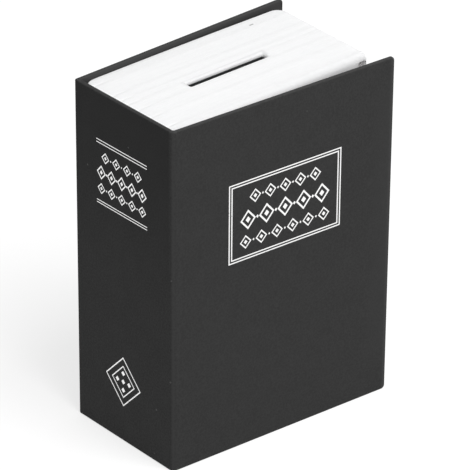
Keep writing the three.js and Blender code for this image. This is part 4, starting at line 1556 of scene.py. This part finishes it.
bm = bmesh.new()
head = dome_profile(head_base, screw_high.y, screw_radius, SCREW_SHANK, cam_high.y - SCREW_REACH)
turned(bm, head, lock_centre, 1)
for vertex in bm.verts:
    if vertex.co.y > head_base + NEAR:
        share = (vertex.co.y - head_base) / head_height
        vertex.co.y = head_base + head_height * min(1, share * SCREW_FLAT)
screw = finished("cam_fixing_screw", bm, "lock", "zinc_steel", ["cam_screw"])
bm = bmesh.new()
slot_floor = screw_high.y - SCREW_SLOT_DEPTH
add_bar_at_lock(bm, SCREW_SLOT_WIDTH / 2, screw_radius + OVERRUN, slot_floor, screw_high.y + OVERRUN)
shaped_by(screw, bm, PLACES["lock"])
reshade(screw)

# %% [markdown]
# ## Print on the covers
# Foil is pressed on the paper in flat white shapes. A double frame stands on the front cover and
# two pairs of rules on the spine. Between them are rows of plain lozenges, a printer's ornament,
# and a larger double lozenge stands near the foot of the spine. Each shape is a thin flat solid that
# lies on the paper.

# %% Flat shapes
FOIL_FRONT = 0.0
FOIL_BACK = SKIN + 0.01
DOT_SHARE = 0.32  # of the lozenge round it
LINK_SHARES = (0.9, 1.1)  # of the line, across and up


def add_bar(bm, low, high):
    """A flat bar in the plane of a cover, from one corner (across, up) to the other."""
    add_box(bm, (low[0], FOIL_FRONT, low[1]), (high[0], FOIL_BACK, high[1]))


def lozenge_points(bm, across, height, half_width, half_height):
    corners = [(half_width, 0), (0, half_height), (-half_width, 0), (0, -half_height)]
    return [bm.verts.new((across + a, FOIL_BACK, height + h)) for a, h in corners]


def raise_foil(bm, faces):
    extruded(bm, faces, (0, FOIL_FRONT - FOIL_BACK, 0))


def add_lozenge(bm, across, height, half_width, half_height):
    """A filled lozenge about a point of the cover."""
    raise_foil(bm, [bm.faces.new(lozenge_points(bm, across, height, half_width, half_height))])


def add_open_lozenge(bm, across, height, half_width, half_height, line):
    """The outline of a lozenge."""
    slope = math.hypot(half_width, half_height)
    inner_width = half_width - line * slope / half_height
    inner_height = half_height - line * slope / half_width
    outer = lozenge_points(bm, across, height, half_width, half_height)
    inner = lozenge_points(bm, across, height, inner_width, inner_height)
    sides = [(i, (i + 1) % 4) for i in range(4)]
    raise_foil(bm, [bm.faces.new((outer[i], outer[k], inner[k], inner[i])) for i, k in sides])


def add_frame(bm, middle, half_size, line):
    """A rectangle of four bars."""
    across, height = middle
    wide, high = half_size
    add_bar(bm, (across - wide, height - high), (across - wide + line, height + high))
    add_bar(bm, (across + wide - line, height - high), (across + wide, height + high))
    add_bar(bm, (across - wide + line, height - high), (across + wide - line, height - high + line))
    add_bar(bm, (across - wide + line, height + high - line), (across + wide - line, height + high))


def add_row(bm, across, height, count, pitch, size, line):
    """A row of open lozenges with a dot in each and a dot between each two."""
    half_width, half_height = size
    for i in range(count):
        spot = across + (i - (count - 1) / 2) * pitch
        add_open_lozenge(bm, spot, height, half_width, half_height, line)
        add_lozenge(bm, spot, height, half_width * DOT_SHARE, half_height * DOT_SHARE)
        if i < count - 1:
            add_lozenge(bm, spot + pitch / 2, height, line * LINK_SHARES[0], line * LINK_SHARES[1])


print("foil:", round(FOIL_BACK - FOIL_FRONT, 3), "mm")

# %% Front print
FRAME_MIDDLE = (63.65, 121.7)
FRAME_HALF = (32.15, 20.7)
FRAME_LINE = 0.62
FRAME_STEP = 1.42
FRONT_ROWS = (  # height from the middle, count, pitch, half size and line
    (11.4, 5, 8.6, (3.3, 3.6), 0.62),
    (0, 5, 10.6, (4.4, 5.2), 0.85),
    (-11.4, 6, 9.0, (3.3, 3.6), 0.62),
)

bm = bmesh.new()
for inset in (0, FRAME_STEP):
    add_frame(bm, FRAME_MIDDLE, (FRAME_HALF[0] - inset, FRAME_HALF[1] - inset), FRAME_LINE)
for rise, *row in FRONT_ROWS:
    add_row(bm, FRAME_MIDDLE[0], FRAME_MIDDLE[1] + rise, *row)
bmesh.ops.recalc_face_normals(bm, faces=bm.faces)
finished("front_print", bm, "front_cover", "covering", finish=FOIL)

# %% Spine print
SPINE_MIDDLE = 35.4
RULE_HALF = 17.7
RULE_LINE = 0.4
RULE_HEIGHTS = (155.6, 154.1, 123.95, 122.6)
ROW_HEIGHT = 139.0
SPINE_ROWS = (
    (8.4, 4, 7.6, (2.7, 2.9), 0.5),
    (0, 5, 7.2, (3.1, 3.7), 0.6),
    (-8.4, 5, 7.2, (2.7, 2.9), 0.5),
)
LOZENGE_HEIGHT = 33.0
LOZENGE_LINES = ((12.5, 13.5, 0.55), (8.2, 8.9, 0.5))
LOZENGE_DOTS = ((-4.2, 0), (0, -4.6), (4.2, 0), (0, 4.6), (0, 0))
LOZENGE_DOT = (1.3, 1.4)

bm = bmesh.new()
for height in RULE_HEIGHTS:
    add_bar(bm, (-RULE_HALF, height - RULE_LINE / 2), (RULE_HALF, height + RULE_LINE / 2))
for rise, *row in SPINE_ROWS:
    add_row(bm, 0, ROW_HEIGHT + rise, *row)
for line in LOZENGE_LINES:
    add_open_lozenge(bm, 0, LOZENGE_HEIGHT, *line)
for across, rise in LOZENGE_DOTS:
    add_lozenge(bm, across, LOZENGE_HEIGHT + rise, *LOZENGE_DOT)
bmesh.ops.recalc_face_normals(bm, faces=bm.faces)
to_spine = Matrix.Translation((0, SPINE_MIDDLE, 0)) @ Matrix.Rotation(math.radians(-90), 4, "Z")
bm.transform(to_spine)
finished("spine_print", bm, "case", "covering", finish=FOIL)

# %% [markdown]
# ## Floor, backdrop and light
# The book stands on a plain pale floor in a white studio. The floor is a little darker to the light
# than to the eye: part of its white is given only to rays from the camera, to reflections and to
# rays through glass, so that the picture is white, while the floor throws less light back on the
# object and still keeps its shadow. One large soft lamp stands above the front of the book, and the
# white room gives an even light from all round.

# %% Floor
FLOOR_SIZE = 12
FLOOR_COLOUR = (0.42, 0.42, 0.42)
FLOOR_GLOW = 0.66


def seen_mask(tree):
    """1 for rays from the camera, from reflections and through glass, and 0 for all others."""
    paths = tree.nodes.new("ShaderNodeLightPath")
    seen = math_node(tree, "MAXIMUM", paths.outputs["Is Camera Ray"], paths.outputs["Is Glossy Ray"])
    return math_node(tree, "MAXIMUM", seen, paths.outputs["Is Transmission Ray"])


floor_mesh = bpy.data.meshes.new("floor")
bm = bmesh.new()
bmesh.ops.create_grid(bm, x_segments=1, y_segments=1, size=FLOOR_SIZE / 2)
bm.to_mesh(floor_mesh)
bm.free()
floor = bpy.data.objects.new("floor", floor_mesh)
bpy.context.scene.collection.objects.link(floor)

floor_material = bpy.data.materials.new("Pale floor")
floor_material.use_nodes = True
tree = floor_material.node_tree
tree.nodes.clear()
glow = add_node(tree, "ShaderNodeEmission")
tree.links.new(math_node(tree, "MULTIPLY", seen_mask(tree), FLOOR_GLOW), glow.inputs["Strength"])
matt = add_node(tree, "ShaderNodeBsdfDiffuse", Color=(*FLOOR_COLOUR, 1))
both = tree.nodes.new("ShaderNodeAddShader")
tree.links.new(glow.outputs[0], both.inputs[0])
tree.links.new(matt.outputs[0], both.inputs[1])
surface = tree.nodes.new("ShaderNodeOutputMaterial")
tree.links.new(both.outputs[0], surface.inputs["Surface"])
floor_mesh.materials.append(floor_material)
print("floor:", FLOOR_SIZE, "m square")

# %% World
WORLD_LIGHT = 0.59

world = bpy.data.worlds.new("studio")
bpy.context.scene.world = world
world.use_nodes = True
tree = world.node_tree
tree.nodes.clear()
strength = ranged(tree, seen_mask(tree), 0, 1, WORLD_LIGHT, 1.0)
sky = add_node(tree, "ShaderNodeBackground")
tree.links.new(strength, sky.inputs["Strength"])
surface = tree.nodes.new("ShaderNodeOutputWorld")
tree.links.new(sky.outputs[0], surface.inputs["Surface"])
print("world:", world.name, "gives", WORLD_LIGHT)

# %% Lamp
LAMP_PLACE = Vector((0.1, -1.1, 1.8))
LAMP_SIZE = 1.4
LAMP_POWER = 34

lamp_data = bpy.data.lights.new("key", "AREA")
lamp_data.shape = "SQUARE"
lamp_data.size = LAMP_SIZE
lamp_data.energy = LAMP_POWER
lamp = bpy.data.objects.new("key", lamp_data)
bpy.context.scene.collection.objects.link(lamp)
lamp.location = LAMP_PLACE
to_book = Vector((0, 0, HEIGHT * MM / 2)) - LAMP_PLACE
lamp.rotation_euler = to_book.to_track_quat("-Z", "Y").to_euler()
bpy.context.scene.view_settings.view_transform = "Standard"
print("lamp:", lamp.name, LAMP_POWER, "W")
